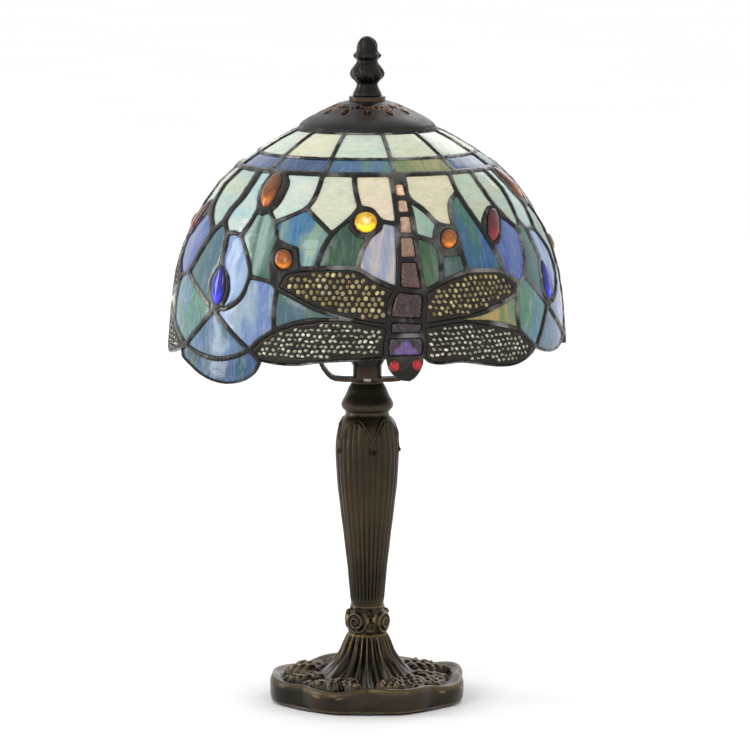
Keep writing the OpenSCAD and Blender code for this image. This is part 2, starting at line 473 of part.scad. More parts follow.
module crown_came() color("#2b2a28") difference() {
    dome_sector(0, 360, 0.5, band_end + 2 * came_half, lead_out, -lead_in);
    for (i = [0:crown_panes - 1]) {
        crown_sector(i, crown_s, band_s - came_half, 2 * lead_out, -2 * lead_in);
        crown_sector(i, band_s + came_half, band_end, 2 * lead_out, -2 * lead_in);
    }
}
module crown_glass() color("#e9ecd6")
    for (i = [0:crown_panes - 1]) crown_sector(i, crown_s, band_s - came_half, glass_out, -glass_in);
module band_glass_blue() color("#5b79ad")
    band_panes([for (i = [0:crown_panes - 1]) if (i % green_pane != 0) i]);
module band_glass_green() color("#8c9a5c")
    band_panes([for (i = [0:crown_panes - 1]) if (i % green_pane == 0) i]);

module lead_network() color("#2b2a28") lead_polyhedron();
module cream_glass() color("#ece9d2") plates("cream", glass_out, -glass_in);
module blue_glass() color("#6f92b5") plates("blue", glass_out, -glass_in);
module green_glass() color("#6f9a80") plates("green", glass_out, -glass_in);
module petal_glass() color("#9fb6dd") plates("petal", glass_out, -glass_in);
module rim_glass() color("#5d94a4") plates("rim", glass_out, -glass_in);
jewel_out = 2.6;
module amber_teardrops() color("#7a3410") plates("teardrop", jewel_out, -glass_in);
module amber_cabochons() color("#c9780e") plates("cabochon", jewel_out, -glass_in);
module garnet_ovals() color("#6d1626") plates("garnet", jewel_out, -glass_in);
module sapphire_marquises() color("#2b2c9c") plates("marquise", jewel_out, -glass_in);
module tail_glass() color("#c88a70") plates("tail", 1.6, -glass_in);
module body_glass() color("#4a2f38") plates("body", 1.6, -glass_in);
module wing_glass() color("#e8d9a8") plates("wing", glass_out, -glass_in);
module wing_filigree() color("#2b2a28") plates("wing", glass_out + filigree_t, glass_out);
eye_r = 3;
eye_h = 1.6;
eye_gap = 0.1;            // clears the curve of the lead under the eye's flat back
EYES = [[7.6, 138], [13.9, 137.6]];
module dragonfly_eyes() color("#b01818")
    for (k = [0:2]) for (e = EYES)
        rotate([0, 0, azimuth(k, e.x)]) translate([0, -dome(e.y).x - lead_out - eye_gap, dome(e.y).y])
            rotate([90, 0, 0]) cylinder(r1 = eye_r, r2 = eye_r * 0.6, h = eye_h);

// Finial: a loose washer and a turned knob on the stud
module finial_washer() color("#4a3c2a") ring(stud_r + run_gap, 9.4, hub_top, washer_top);
FINIAL = [[7.2, washer_top], [7.4, 317], [6.3, 319.5], [5.5, 321.9], [6.6, 323.4], [8.4, 325.4], [8.8, 327],
    [8.4, 329], [6.8, 331.6], [5.5, 333.2], [5.5, 334.4], [6.7, 335.8], [6.8, 336.9], [6, 338.2], [5.3, 339.6],
    [5.2, 341.2], [4.5, 343.6], [3, 345.6], [1.2, finial_top - 0.1], [0, finial_top]];
module finial() color("#4a3c2a") difference() {
    lathe(concat([[0, washer_top]], FINIAL));
    translate([0, 0, washer_top - 1]) cylinder(r = stud_r + run_gap, h = 12);
}

base_felt();
base_casting();
cord_grommet();
rod_washer();
rod_nut();
threaded_rod();
knot_collar();
stem_casting();
neck_bell();
harp();
harp_nut();
socket_cup();
holder_cap();
holder_body();
holder_shell();
holder_contact();
terminal_block();
terminal_screws();
harp_stud();
stud_lower_nut();
stud_lock_nut();
shade_seat();
bulb_glass();
bulb_cap();
bulb_insulator();
bulb_contact();
bulb_mount();
bulb_filament();
shade_cap();
crown_came();
crown_glass();
band_glass_blue();
band_glass_green();
lead_network();
cream_glass();
blue_glass();
green_glass();
petal_glass();
rim_glass();
amber_teardrops();
amber_cabochons();
garnet_ovals();
sapphire_marquises();
tail_glass();
body_glass();
dragonfly_eyes();
wing_glass();
wing_filigree();
finial_washer();
finial();
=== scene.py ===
"""Looks of the stained glass table lamp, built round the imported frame.

Lengths are in mm until a mesh is made.
"""

import math
import random

import bpy
import numpy as np
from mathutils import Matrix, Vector
from mathutils.geometry import delaunay_2d_cdt
from mathutils.kdtree import KDTree


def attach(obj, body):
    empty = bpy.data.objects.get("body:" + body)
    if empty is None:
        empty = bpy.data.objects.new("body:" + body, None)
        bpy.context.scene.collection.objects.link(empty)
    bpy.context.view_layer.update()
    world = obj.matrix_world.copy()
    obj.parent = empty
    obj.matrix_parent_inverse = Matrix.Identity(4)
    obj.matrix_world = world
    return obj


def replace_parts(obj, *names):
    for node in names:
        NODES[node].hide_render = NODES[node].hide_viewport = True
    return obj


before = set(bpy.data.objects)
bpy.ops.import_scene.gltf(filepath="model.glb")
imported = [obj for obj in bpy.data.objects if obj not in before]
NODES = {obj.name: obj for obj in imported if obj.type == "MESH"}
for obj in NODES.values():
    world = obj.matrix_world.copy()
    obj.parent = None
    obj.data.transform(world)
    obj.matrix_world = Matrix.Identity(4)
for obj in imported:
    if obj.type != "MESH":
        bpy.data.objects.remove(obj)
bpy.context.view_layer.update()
MM = 0.001
rng = random.Random(7)

# ---------------------------------------------------------------- camera, floor, light
scene = bpy.context.scene
scene.view_settings.view_transform = "Standard"


def aim(obj, target):
    obj.rotation_euler = (Vector(target) - obj.location).to_track_quat("-Z", "Y").to_euler()


def area_light(name, place, target, size, power, colour):
    data = bpy.data.lights.new(name, "AREA")
    data.shape = "RECTANGLE"
    data.size, data.size_y = size
    data.energy = power
    data.color = colour
    lamp = bpy.data.objects.new(name, data)
    lamp.location = place
    scene.collection.objects.link(lamp)
    aim(lamp, target)


camera_data = bpy.data.cameras.new("camera")
camera_data.lens = 232.8
camera_data.sensor_width = 36
camera = bpy.data.objects.new("camera", camera_data)
camera.location = (0.004, -2.5, 0.499)
scene.collection.objects.link(camera)
aim(camera, (0.004, 0, 0.1705))
scene.camera = camera

area_light("key", (-1.2, -1.5, 1.2), (0, 0, 0.2), (0.5, 1.1), 8, (1, 0.985, 0.96))
area_light("left_strip", (-1.5, 0.1, 0.5), (0, 0, 0.2), (0.3, 1.3), 8, (1, 1, 1))
area_light("fill", (1.5, -1.2, 0.7), (0, 0, 0.2), (0.5, 1.2), 2, (0.95, 0.98, 1))
area_light("rim", (0.5, 1.6, 1.2), (0, 0, 0.2), (1.2, 0.8), 5, (1, 1, 1))


# ---------------------------------------------------------------- material helpers
def new_material(name):
    material = bpy.data.materials.new(name)
    material.use_nodes = True
    tree = material.node_tree
    return material, tree, tree.nodes["Principled BSDF"]


def add(tree, kind, **values):
    n = tree.nodes.new(kind)
    for key, value in values.items():
        setattr(n, key, value)
    return n


def attribute(tree, name):
    return add(tree, "ShaderNodeAttribute", attribute_name=name)


def mapped(tree, vector, scale):
    m = add(tree, "ShaderNodeMapping")
    m.inputs["Scale"].default_value = scale
    tree.links.new(vector, m.inputs["Vector"])
    return m.outputs["Vector"]


def noise(tree, vector, scale, detail=3, distortion=0.0, rough=0.5):
    n = add(tree, "ShaderNodeTexNoise")
    n.inputs["Scale"].default_value = scale
    n.inputs["Detail"].default_value = detail
    n.inputs["Distortion"].default_value = distortion
    n.inputs["Roughness"].default_value = rough
    tree.links.new(vector, n.inputs["Vector"])
    return n.outputs["Fac"]


def ramp(tree, factor, stops):
    r = add(tree, "ShaderNodeValToRGB")
    while len(r.color_ramp.elements) < len(stops):
        r.color_ramp.elements.new(0.5)
    for element, (place, colour) in zip(r.color_ramp.elements, stops):
        element.position = place
        element.color = (*colour, 1) if len(colour) == 3 else colour
    tree.links.new(factor, r.inputs["Fac"])
    return r.outputs["Color"]


def grey(tree, factor, low, high, start=0.3, end=0.7):
    return ramp(tree, factor, [(start, (low,) * 3), (end, (high,) * 3)])


def mix(tree, factor, a, b, blend="MIX"):
    m = add(tree, "ShaderNodeMix", data_type="RGBA", blend_type=blend)
    for value, socket in ((factor, m.inputs[0]), (a, m.inputs[6]), (b, m.inputs[7])):
        if isinstance(value, (int, float)):
            socket.default_value = value
        elif isinstance(value, tuple):
            socket.default_value = (*value, 1)
        else:
            tree.links.new(value, socket)
    return m.outputs[2]


def bump(tree, bsdf, height, strength, distance):
    b = add(tree, "ShaderNodeBump")
    b.inputs["Strength"].default_value = strength
    b.inputs["Distance"].default_value = distance
    tree.links.new(height, b.inputs["Height"])
    tree.links.new(b.outputs["Normal"], bsdf.inputs["Normal"])


def object_coords(tree):
    return add(tree, "ShaderNodeTexCoord").outputs["Object"]


def srgb(r, g, b):
    return tuple(((c / 255 + 0.055) / 1.055) ** 2.4 if c > 10 else c / 255 / 12.92 for c in (r, g, b))


LIGHT_GAIN = 0.7


def lit(r, g, b):
    """The colour of a surface that the studio light brings up to this display colour."""
    return tuple(LIGHT_GAIN * c for c in srgb(r, g, b))


def plain_material(name, low, high, scale, metallic=0.0, rough=(0.3, 0.5), bump_mm=0.05, coat=0.0,
                   sheen=0.0):
    """A material whose colour, gloss and relief all drift with the same fine noise."""
    material, tree, bsdf = new_material(name)
    where = object_coords(tree)
    drift = noise(tree, where, scale, 4)
    fine = noise(tree, where, scale * 6, 3)
    colour = mix(tree, drift, low, high)
    tree.links.new(colour, bsdf.inputs["Base Color"])
    tree.links.new(grey(tree, fine, rough[0], rough[1]), bsdf.inputs["Roughness"])
    bsdf.inputs["Metallic"].default_value = metallic
    bsdf.inputs["Coat Weight"].default_value = coat
    bsdf.inputs["Sheen Weight"].default_value = sheen
    bump(tree, bsdf, fine, 0.6, bump_mm * MM)
    return material


def bronze_material(name, dark, mid, worn, grain=140, rough=(0.32, 0.5), wear_at=(0.5, 0.6), patchy_low=0.45):
    """Patinated bronze: darker in the hollows, rubbed to a golden brown on raised edges."""
    material, tree, bsdf = new_material(name)
    where = object_coords(tree)
    cloud = noise(tree, where, 22, 4, 0.6)
    fine = noise(tree, where, grain * 4, 3)
    edge = add(tree, "ShaderNodeNewGeometry").outputs["Pointiness"]
    rubbed = ramp(tree, edge, [(wear_at[0], (0, 0, 0)), (wear_at[1], (1, 1, 1))])
    patchy = mix(tree, 1.0, rubbed, grey(tree, noise(tree, where, 60, 3), patchy_low, 1.0), "MULTIPLY")
    body = mix(tree, grey(tree, cloud, 0, 1, 0.35, 0.68), dark, mid)
    colour = mix(tree, patchy, body, worn)
    tree.links.new(colour, bsdf.inputs["Base Color"])
    bsdf.inputs["Metallic"].default_value = 0.75
    tree.links.new(grey(tree, noise(tree, where, grain, 4), rough[0], rough[1]), bsdf.inputs["Roughness"])
    bump(tree, bsdf, fine, 0.35, 0.12 * MM)
    return material


def glass_material(name, rough=(0.1, 0.24), wisp=0.22, stretch=(0.7, 0.22, 1), ripple=(0.25, 1.6, 1),
                   ripple_mm=0.35, streak_scale=1.1, milk=(0.6, 0.63, 0.62)):
    """Opalescent sheet glass: two colours of the pane folded into each other in streaks, with milky wisps."""
    material, tree, bsdf = new_material(name)
    flow = attribute(tree, "flow").outputs["Vector"]
    tint = attribute(tree, "tint").outputs["Color"]
    streak = attribute(tree, "streak").outputs["Color"]
    folds = noise(tree, mapped(tree, flow, stretch), streak_scale, 3, 1.0, 0.5)
    wisps = noise(tree, mapped(tree, flow, (stretch[0] * 1.6, stretch[1] * 1.5, 1)), streak_scale * 1.8, 4,
                  1.6, 0.55)
    grain = noise(tree, mapped(tree, flow, (stretch[0] * 5, stretch[1] * 5, 1)), streak_scale * 2, 3, 1.0,
                  0.5)
    base = mix(tree, grey(tree, folds, 0, 1, 0.38, 0.62), tint, streak)
    base = mix(tree, 1.0, base, grey(tree, grain, 0.88, 1.06, 0.35, 0.68), "MULTIPLY")
    milky = mix(tree, grey(tree, wisps, 0, wisp, 0.48, 0.72), base, milk)
    tree.links.new(milky, bsdf.inputs["Base Color"])
    tree.links.new(grey(tree, wisps, rough[0], rough[1]), bsdf.inputs["Roughness"])
    bsdf.inputs["Coat Weight"].default_value = 0.15
    bsdf.inputs["Coat Roughness"].default_value = 0.06
    bsdf.inputs["Specular IOR Level"].default_value = 0.35
    bump(tree, bsdf, noise(tree, mapped(tree, flow, ripple), 2.2, 3, 0.8), 0.5, ripple_mm * MM)
    return material


def gem_material(name, painted_glow, rough=0.05):
    """A pressed glass jewel: its tint runs from core to edge, with small inclusions, and is also given off as
    a painted glow.
    """
    material, tree, bsdf = new_material(name)
    tint = attribute(tree, "tint").outputs["Color"]
    where = object_coords(tree)
    cloudy = noise(tree, where, 500, 4, 1.0)
    colour = mix(tree, 0.85, tint, grey(tree, cloudy, 0.35, 1.0), "MULTIPLY")
    tree.links.new(colour, bsdf.inputs["Base Color"])
    # Painted glow: the jewel gives off its own colour as light, though it is no lamp.
    tree.links.new(colour, bsdf.inputs["Emission Color"])
    bsdf.inputs["Emission Strength"].default_value = painted_glow
    bsdf.inputs["Coat Weight"].default_value = 0.4
    bsdf.inputs["Coat Roughness"].default_value = 0.03
    bsdf.inputs["Specular IOR Level"].default_value = 0.25
    tree.links.new(grey(tree, cloudy, rough, rough * 3), bsdf.inputs["Roughness"])
    bump(tree, bsdf, noise(tree, where, 260, 2), 0.25, 0.25 * MM)
    return material


def lead_material(name):
    """Patinated solder: near black, with silvery crests that are partly bare metal and partly a painted
    highlight, and small runs.
    """
    material, tree, bsdf = new_material(name)
    where = object_coords(tree)
    cloud = noise(tree, where, 34, 4, 0.8)
    fine = noise(tree, where, 420, 4)
    edge = add(tree, "ShaderNodeNewGeometry").outputs["Pointiness"]
    # Silvery crests: partly worn, bare solder and partly a painted highlight on the rounded bead.
    crest = ramp(tree, edge, [(0.51, (0, 0, 0)), (0.6, (1, 1, 1))])
    bare_and_highlight = mix(tree, 1.0, crest, grey(tree, cloud, 0, 1, 0.5, 0.66), "MULTIPLY")
    body = mix(tree, fine, (0.005, 0.005, 0.004), (0.014, 0.013, 0.011))
    tree.links.new(mix(tree, bare_and_highlight, body, (0.26, 0.255, 0.24)), bsdf.inputs["Base Color"])
    bsdf.inputs["Metallic"].default_value = 0.5
    bsdf.inputs["Specular IOR Level"].default_value = 0.42
    tree.links.new(grey(tree, noise(tree, where, 120, 3), 0.22, 0.4), bsdf.inputs["Roughness"])
    bump(tree, bsdf, fine, 0.3, 0.15 * MM)
    return material


# ---------------------------------------------------------------- mesh helpers
def piece(name, verts, faces, material, body, slot, smooth=True, sharp=None):
    mesh = bpy.data.meshes.new(name)
    mesh.from_pydata((np.asarray(verts, float) * MM).tolist(), [], [tuple(int(i) for i in f) for f in faces])
    mesh.update()
    if smooth:
        mesh.shade_smooth()
    if sharp:
        mesh.set_sharp_from_angle(angle=math.radians(sharp))
    mesh.materials.append(material)
    obj = bpy.data.objects.new(name, mesh)
    scene.collection.objects.link(obj)
    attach(obj, body)
    return obj


def paint(obj, name, colours):
    """A colour for each vertex, as an attribute that the materials read."""
    layer = obj.data.color_attributes.new(name=name, type="FLOAT_COLOR", domain="POINT")
    colours = np.asarray(colours, float)
    layer.data.foreach_set("color", np.hstack([colours, np.ones((len(colours), 1))]).ravel())


def vectors(obj, name, values):
    layer = obj.data.attributes.new(name=name, type="FLOAT_VECTOR", domain="POINT")
    layer.data.foreach_set("vector", np.asarray(values, float).ravel())


class Parts:
    """Collects shells into one mesh, with whatever is known of each vertex."""

    def __init__(self):
        self.verts, self.faces, self.extra = [], [], {}

    def add(self, verts, faces, **extra):
        first = sum(len(v) for v in self.verts)
        self.verts.append(np.asarray(verts, float))
        self.faces.extend([[i + first for i in f] for f in faces])
        for key, value in extra.items():
            value = np.asarray(value, float)
            if value.ndim == 1:
                value = np.tile(value, (len(verts), 1))
            self.extra.setdefault(key, []).append(value)

    def make(self, *args, **kw):
        obj = piece(args[0], np.vstack(self.verts), self.faces, *args[1:], **kw)
        for key, values in self.extra.items():
            (vectors if key == "flow" else paint)(obj, key, np.vstack(values))
        return obj


def triangulate(points, loops):
    """Triangles inside loops[0] and outside every other loop, with the points they use."""
    def ccw(loop):
        p = points[loop]
        q = np.roll(p, -1, 0)
        return list(loop) if (p[:, 0] * q[:, 1] - q[:, 0] * p[:, 1]).sum() > 0 else list(loop)[::-1]
    out = delaunay_2d_cdt([Vector(p) for p in points], [], [ccw(q) for q in loops], 0, 1e-7, True)
    spots, triangles, inside = out[0], out[2], out[5]
    kept = [t for t, owners in zip(triangles, inside) if 0 in owners and len(owners) == 1]
    return np.array([tuple(p) for p in spots]), kept


def closed_sheet(kept, outer, inner, outward):
    """One closed solid from a triangulation: outer skin, inner skin and a wall along each open edge."""
    n = len(outer)
    t = np.array(kept)
    normal = np.cross(outer[t[:, 1]] - outer[t[:, 0]], outer[t[:, 2]] - outer[t[:, 0]])
    if (normal * outward[t[:, 0]]).sum() < 0:
        t = t[:, ::-1]
    kept = t.tolist()
    directed = {(a, b) for tri in kept for a, b in ((tri[0], tri[1]), (tri[1], tri[2]), (tri[2], tri[0]))}
    faces = kept + [[c + n, b + n, a + n] for a, b, c in kept]
    for tri in kept:
        for a, b in ((tri[0], tri[1]), (tri[1], tri[2]), (tri[2], tri[0])):
            if (b, a) not in directed:
                faces.append([b, a, a + n, b + n])
    used = sorted({i for f in faces for i in f})
    number = {old: new for new, old in enumerate(used)}
    verts = np.vstack([outer, inner])[used]
    return verts, [[number[i] for i in f] for f in faces], np.array(used) % n


def smooth_loop(points, step, corner=40, passes=1):
    """A closed outline as a curve through its points; points that turn more than corner stay corners."""
    p = np.asarray(points, float)
    n = len(p)
    before, after = p - np.roll(p, 1, 0), np.roll(p, -1, 0) - p
    ub, ua = before / np.linalg.norm(before, axis=1)[:, None], after / np.linalg.norm(after, axis=1)[:, None]
    turn = np.degrees(np.arccos(np.clip((ub * ua).sum(1), -1, 1)))
    tangent = ub + ua
    tangent /= np.linalg.norm(tangent, axis=1)[:, None] + 1e-9
    out = []
    for i in range(n):
        j = (i + 1) % n
        length = np.linalg.norm(p[j] - p[i])
        chord = (p[j] - p[i]) / length
        ti = chord if turn[i] > corner else tangent[i]
        tj = chord if turn[j] > corner else tangent[j]
        k = max(1, round(length / step))
        for a in np.arange(k) / k:
            h = (2 * a**3 - 3 * a**2 + 1, a**3 - 2 * a**2 + a, -2 * a**3 + 3 * a**2, a**3 - a**2)
            out.append(h[0] * p[i] + h[1] * ti * length + h[2] * p[j] + h[3] * tj * length)
    out = np.array(out)
    for _ in range(passes):
        out = 0.25 * np.roll(out, 1, 0) + 0.5 * out + 0.25 * np.roll(out, -1, 0)
    return out


def signed_area(p):
    q = np.roll(p, -1, 0)
    return 0.5 * (p[:, 0] * q[:, 1] - q[:, 0] * p[:, 1]).sum()


def grown(p, by):
    """An outline moved outwards by a small distance."""
    t = np.roll(p, -1, 0) - np.roll(p, 1, 0)
    t /= np.linalg.norm(t, axis=1)[:, None] + 1e-9
    side = 1 if signed_area(p) > 0 else -1
    return p + by * side * np.stack([t[:, 1], -t[:, 0]], 1)


def inside(points, loop):
    x, y = points[:, 0][:, None], points[:, 1][:, None]
    a, b = loop, np.roll(loop, -1, 0)
    crosses = (a[:, 1] > y) != (b[:, 1] > y)
    at = a[:, 0] + (y - a[:, 1]) * (b[:, 0] - a[:, 0]) / (b[:, 1] - a[:, 1] + 1e-12)
    return (crosses & (x < at)).sum(1) % 2 == 1


def hex_grid(loop, pitch, margin):
    """Points on a triangular grid inside an outline, no nearer to it than margin."""
    lo, hi = loop.min(0), loop.max(0)
    rows = np.arange(lo[1], hi[1], pitch * 0.866)
    spots = [(x + (pitch / 2 if k % 2 else 0), y) for k, y in enumerate(rows)
             for x in np.arange(lo[0], hi[0], pitch)]
    if not spots:
        return np.zeros((0, 2))
    spots = np.array(spots)
    spots = spots[inside(spots, loop)]
    if not len(spots):
        return spots
    near = np.sqrt(((spots[:, None] - loop[None]) ** 2).sum(2)).min(1)
    return spots[near > margin]


# ---------------------------------------------------------------- the dome
DOME = np.array([(35.5, 299), (45, 294.2), (54.5, 288.5), (66.5, 280.3), (75.5, 271.5), (83, 261.5),
                 (89.5, 250.5), (94.8, 238.5), (98.3, 226), (100.3, 213), (101.5, 200), (102.5, 187),
                 (103, 172), (103, 150)], float)
RUN = np.concatenate([[0], np.cumsum(np.hypot(*np.diff(DOME, axis=0).T))])
SLOPE_STEP = 4


def dome(s):
    return np.stack([np.interp(s, RUN, DOME[:, 0]), np.interp(s, RUN, DOME[:, 1])], -1)


def out_dir(s):
    d = dome(s + SLOPE_STEP) - dome(s - SLOPE_STEP)
    return np.stack([-d[..., 1], d[..., 0]], -1) / np.linalg.norm(d, axis=-1)[..., None]


def on_dome(az, s, out):
    """Place of an azimuth in degrees, an arc length and a height over the dome's middle surface."""
    az, s, out = np.broadcast_arrays(np.radians(az), np.asarray(s, float), np.asarray(out, float))
    p = dome(s) + out[..., None] * out_dir(s)
    return np.stack([p[..., 0] * np.sin(az), -p[..., 0] * np.cos(az), p[..., 1]], -1)


def outward_at(az, s):
    n = out_dir(np.asarray(s, float))
    a = np.radians(az)
    return np.stack([n[..., 0] * np.sin(a), -n[..., 0] * np.cos(a), n[..., 1]], -1)


def node_loops(name, level):
    """The outlines of a node's outer skin, which lies level mm over the dome, as azimuth and arc length."""
    mesh = NODES[name].data
    co = np.empty(len(mesh.vertices) * 3)
    mesh.vertices.foreach_get("co", co)
    co = co.reshape(-1, 3) / MM
    _, first, same = np.unique(np.round(co / 0.004).astype(int), axis=0, return_index=True,
                               return_inverse=True)
    co, same = co[first], same.ravel()
    s_all = np.arange(-2, 162, 0.04)
    curve = dome(s_all) + level * out_dir(s_all)
    rz = np.stack([np.hypot(co[:, 0], co[:, 1]), co[:, 2]], 1)
    s, off = np.empty(len(rz)), np.empty(len(rz))
    for i, p in enumerate(rz):
        d = ((curve - p) ** 2).sum(1)
        k = d.argmin()
        s[i], off[i] = s_all[k], math.sqrt(d[k])
    az = np.degrees(np.arctan2(co[:, 0], -co[:, 1]))
    skin = off < 0.12
    follows = {}
    for poly in mesh.polygons:
        f = [same[i] for i in poly.vertices]
        if all(skin[i] for i in f):
            for a, b in zip(f, f[1:] + f[:1]):
                follows[(a, b)] = True
    step = {a: b for a, b in follows if (b, a) not in follows}
    loops = []
    while step:
        start = next(iter(step))
        loop, at = [], start
        while at in step:
            loop.append(at)
            at = step.pop(at)
        if len(loop) > 2:
            a = np.unwrap(az[loop], period=360)
            loops.append(np.stack([a, s[loop]], 1))
    return loops


def flat_loop(loop):
    """An outline in mm, across and down from its own middle, and that middle."""
    mid = loop.mean(0)
    return np.stack([np.radians(loop[:, 0] - mid[0]) * dome(loop[:, 1])[:, 0], loop[:, 1]], 1), mid


def unflat(p, mid):
    return np.stack([np.degrees(p[:, 0] / dome(p[:, 1])[:, 0]) + mid[0], p[:, 1]], 1)


# The mosaic repeats three times, with its own azimuths in each sector
SECTOR_T = (-50, 50, 66)
SECTOR_AZ = ((-50, 50, 66), (66, 171, 188), (188, 284, 310))
SECTOR_SPAN = 116


def sector_angle(az):
    az = (az + 50) % 360 - 50
    for row in SECTOR_AZ:
        if row[0] <= az <= row[2]:
            return float(np.interp(az, row, SECTOR_T))


def nearest_tint(table, az, s):
    t = sector_angle(az)

    def far(entry):
        dt = (t - entry[0] + SECTOR_SPAN / 2) % SECTOR_SPAN - SECTOR_SPAN / 2
        return (dt * 1.4) ** 2 + (s - entry[1]) ** 2
    return min(table, key=far)


# Two colours for each pane, by where it lies in its sector
TINTS = {
    "cream_glass": [
        (-48.7, 58.5, lit(205, 222, 214), lit(176, 212, 214)),
                    (-29, 48.7, lit(222, 232, 216), lit(205, 228, 218)),
        (-11.5, 49.4, lit(214, 226, 200), lit(232, 232, 204)),
                    (3.6, 49.6, lit(240, 231, 197), lit(246, 226, 200)),
        (26.2, 49.1, lit(226, 225, 188), lit(240, 230, 195)),
                    (43.5, 51.6, lit(205, 214, 182), lit(188, 212, 190)),
        (58.4, 53, lit(195, 208, 183), lit(178, 205, 196))],
    "blue_glass": [
        (62, 88.9, lit(70, 106, 130), lit(66, 112, 104)), (-45.3, 93.5, lit(164, 192, 224),
                                                           lit(104, 136, 196)),
        (-21.8, 76.6, lit(60, 120, 166), lit(140, 172, 150)),
                   (4.7, 79.3, lit(128, 148, 192), lit(214, 202, 190)),
        (36.5, 74.4, lit(24, 84, 150), lit(60, 112, 96)), (51, 83.5, lit(54, 80, 156), lit(88, 114, 176))],
    "green_glass": [
        (-36.5, 77.8, lit(62, 108, 88), lit(150, 178, 172)), (-6.6, 77.4, lit(42, 78, 70), lit(60, 98, 66)),
        (19.1, 63.5, lit(176, 200, 178), lit(150, 184, 170)), (19.9, 86.4, lit(78, 112, 58), lit(48, 84, 62)),
        (27.1, 88.7, lit(52, 82, 84), lit(72, 108, 88)), (-20.2, 112.4, lit(92, 122, 86), lit(72, 104, 124)),
        (41.8, 115.6, lit(186, 160, 92), lit(96, 132, 92))],
    "petal_glass": [
        (-35.9, 113, lit(112, 138, 190), lit(158, 180, 200)),
                    (55.1, 115.2, lit(84, 138, 106), lit(92, 132, 164)),
        (-48.1, 130.2, lit(98, 130, 172), lit(84, 118, 130))],
    "rim_glass": [(-45, 141, lit(48, 96, 92), lit(62, 90, 146))],
}
TAIL_TOP, TAIL_END = np.array(srgb(236, 196, 164)), np.array(srgb(66, 42, 38))

LEAD_HALF = 1.35
LEAD_EDGE, LEAD_RISE = 0.32, 0.85      # the lead's height at a window's edge, and its rise to the crest
LEAD_BACK = -1.35
GLASS_BACK = -1.45
RIPPLE = 0.05


def ripple(az, s, phase):
    """Hand-rolled unevenness of a sheet of glass, in mm."""
    u = np.radians(az) * 90
    return RIPPLE * (np.sin(u * 0.55 + 1.3 * np.sin(s * 0.31 + phase)) + 0.8
                     * np.sin(s * 1.15 + 0.6 * np.sin(u * 0.4) + phase))


def pane_solid(loop, pitch, level, pillow, back=GLASS_BACK, grow=0.35, corner=40, edge_drop=0.0):
    """One pane: a closed slab over an outline, slightly pillowed and rippled.

    loop is azimuth and arc length.
    """
    flat, mid = flat_loop(loop)
    edge = grown(smooth_loop(flat, pitch * 0.8, corner), grow)
    grid = hex_grid(edge, pitch, pitch * 0.45)
    points = np.vstack([edge, grid]) if len(grid) else edge
    spots, kept = triangulate(points, [range(len(edge))])
    away = np.sqrt(((spots[:, None] - edge[None]) ** 2).sum(2)).min(1)
    place = unflat(spots, mid)
    phase = float(rng.uniform(0, 6.28))
    rise = np.clip(away / 3.0, 0, 1)
    rise = rise * (2 - rise)
    height = level + pillow * rise - edge_drop * (1 - np.clip(away / 1.0, 0, 1)) ** 2
    height = height + ripple(place[:, 0], place[:, 1], phase) * rise
    outer = on_dome(place[:, 0], place[:, 1], height)
    inner = on_dome(place[:, 0], place[:, 1], back)
    verts, faces, source = closed_sheet(kept, outer, inner, outward_at(place[:, 0], place[:, 1]))
    flow = np.stack([spots[:, 0] / 10, spots[:, 1] / 10, np.full(len(spots), phase * 7)], 1)[source]
    return verts, faces, flow, mid, place[source]


# ---------------------------------------------------------------- glass panes
glass = {
    "cream": glass_material("opal_cream", wisp=0.12, stretch=(0.2, 0.5, 1), ripple=(0.3, 2.6, 1),
                            milk=(0.72, 0.74, 0.66)),
    "streaky": glass_material("streaky_glass", wisp=0.12, stretch=(1.0, 0.2, 1), milk=(0.4, 0.5, 0.5)),
    "petal": glass_material("petal_glass", wisp=0.3, stretch=(0.8, 0.3, 1), milk=(0.4, 0.5, 0.6)),
}
PANE_LOOK = {"cream_glass": "cream", "blue_glass": "streaky", "green_glass": "streaky",
             "petal_glass": "petal", "rim_glass": "petal"}
GLASS_LEVEL, JEWEL_LEVEL, PLATE_LEVEL = 0.5, 2.6, 1.6
PANE_PITCH = 1.7

for node, look in PANE_LOOK.items():
    parts = Parts()
    for loop in node_loops(node, GLASS_LEVEL):
        verts, faces, flow, mid, _ = pane_solid(loop, PANE_PITCH, 0.1, 0.25)
        entry = nearest_tint(TINTS[node], mid[0], mid[1])
        parts.add(verts, faces, flow=flow, tint=entry[2], streak=entry[3])
    panes = parts.make(node + "_panes", glass[look], "shade", node, sharp=50)
    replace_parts(panes, node)

# Crown and band: twelve panes each, with a hand-made wander of the bars
DRAGONFLY_AZ = 12
CROWN_PANES = 12
PANE_DEG = 360 / CROWN_PANES
CROWN_S = (1.5, 22.55)
BAND_S = (24.45, 33.95)
bars = [DRAGONFLY_AZ + PANE_DEG * i + rng.uniform(-0.7, 0.7) for i in range(CROWN_PANES)]
crown_windows, band_windows = [], []
for i in range(CROWN_PANES):
    a, b = bars[i], bars[(i + 1) % CROWN_PANES] + (360 if i == CROWN_PANES - 1 else 0)
    for (s0, s1), windows in ((CROWN_S, crown_windows), (BAND_S, band_windows)):
        half0 = math.degrees(LEAD_HALF * 0.85 / dome(s0)[0])
        half1 = math.degrees(LEAD_HALF * 0.85 / dome(s1)[0])
        windows.append(np.array([(a + half0, s0), (b - half0, s0), (b - half1, s1), (a + half1, s1)]))
CROWN_TINTS = [(lit(214, 228, 196), lit(232, 233, 206)), (lit(206, 224, 204), lit(226, 233, 214)),
               (lit(226, 230, 196), lit(238, 236, 206)), (lit(206, 228, 208), lit(222, 233, 212))]
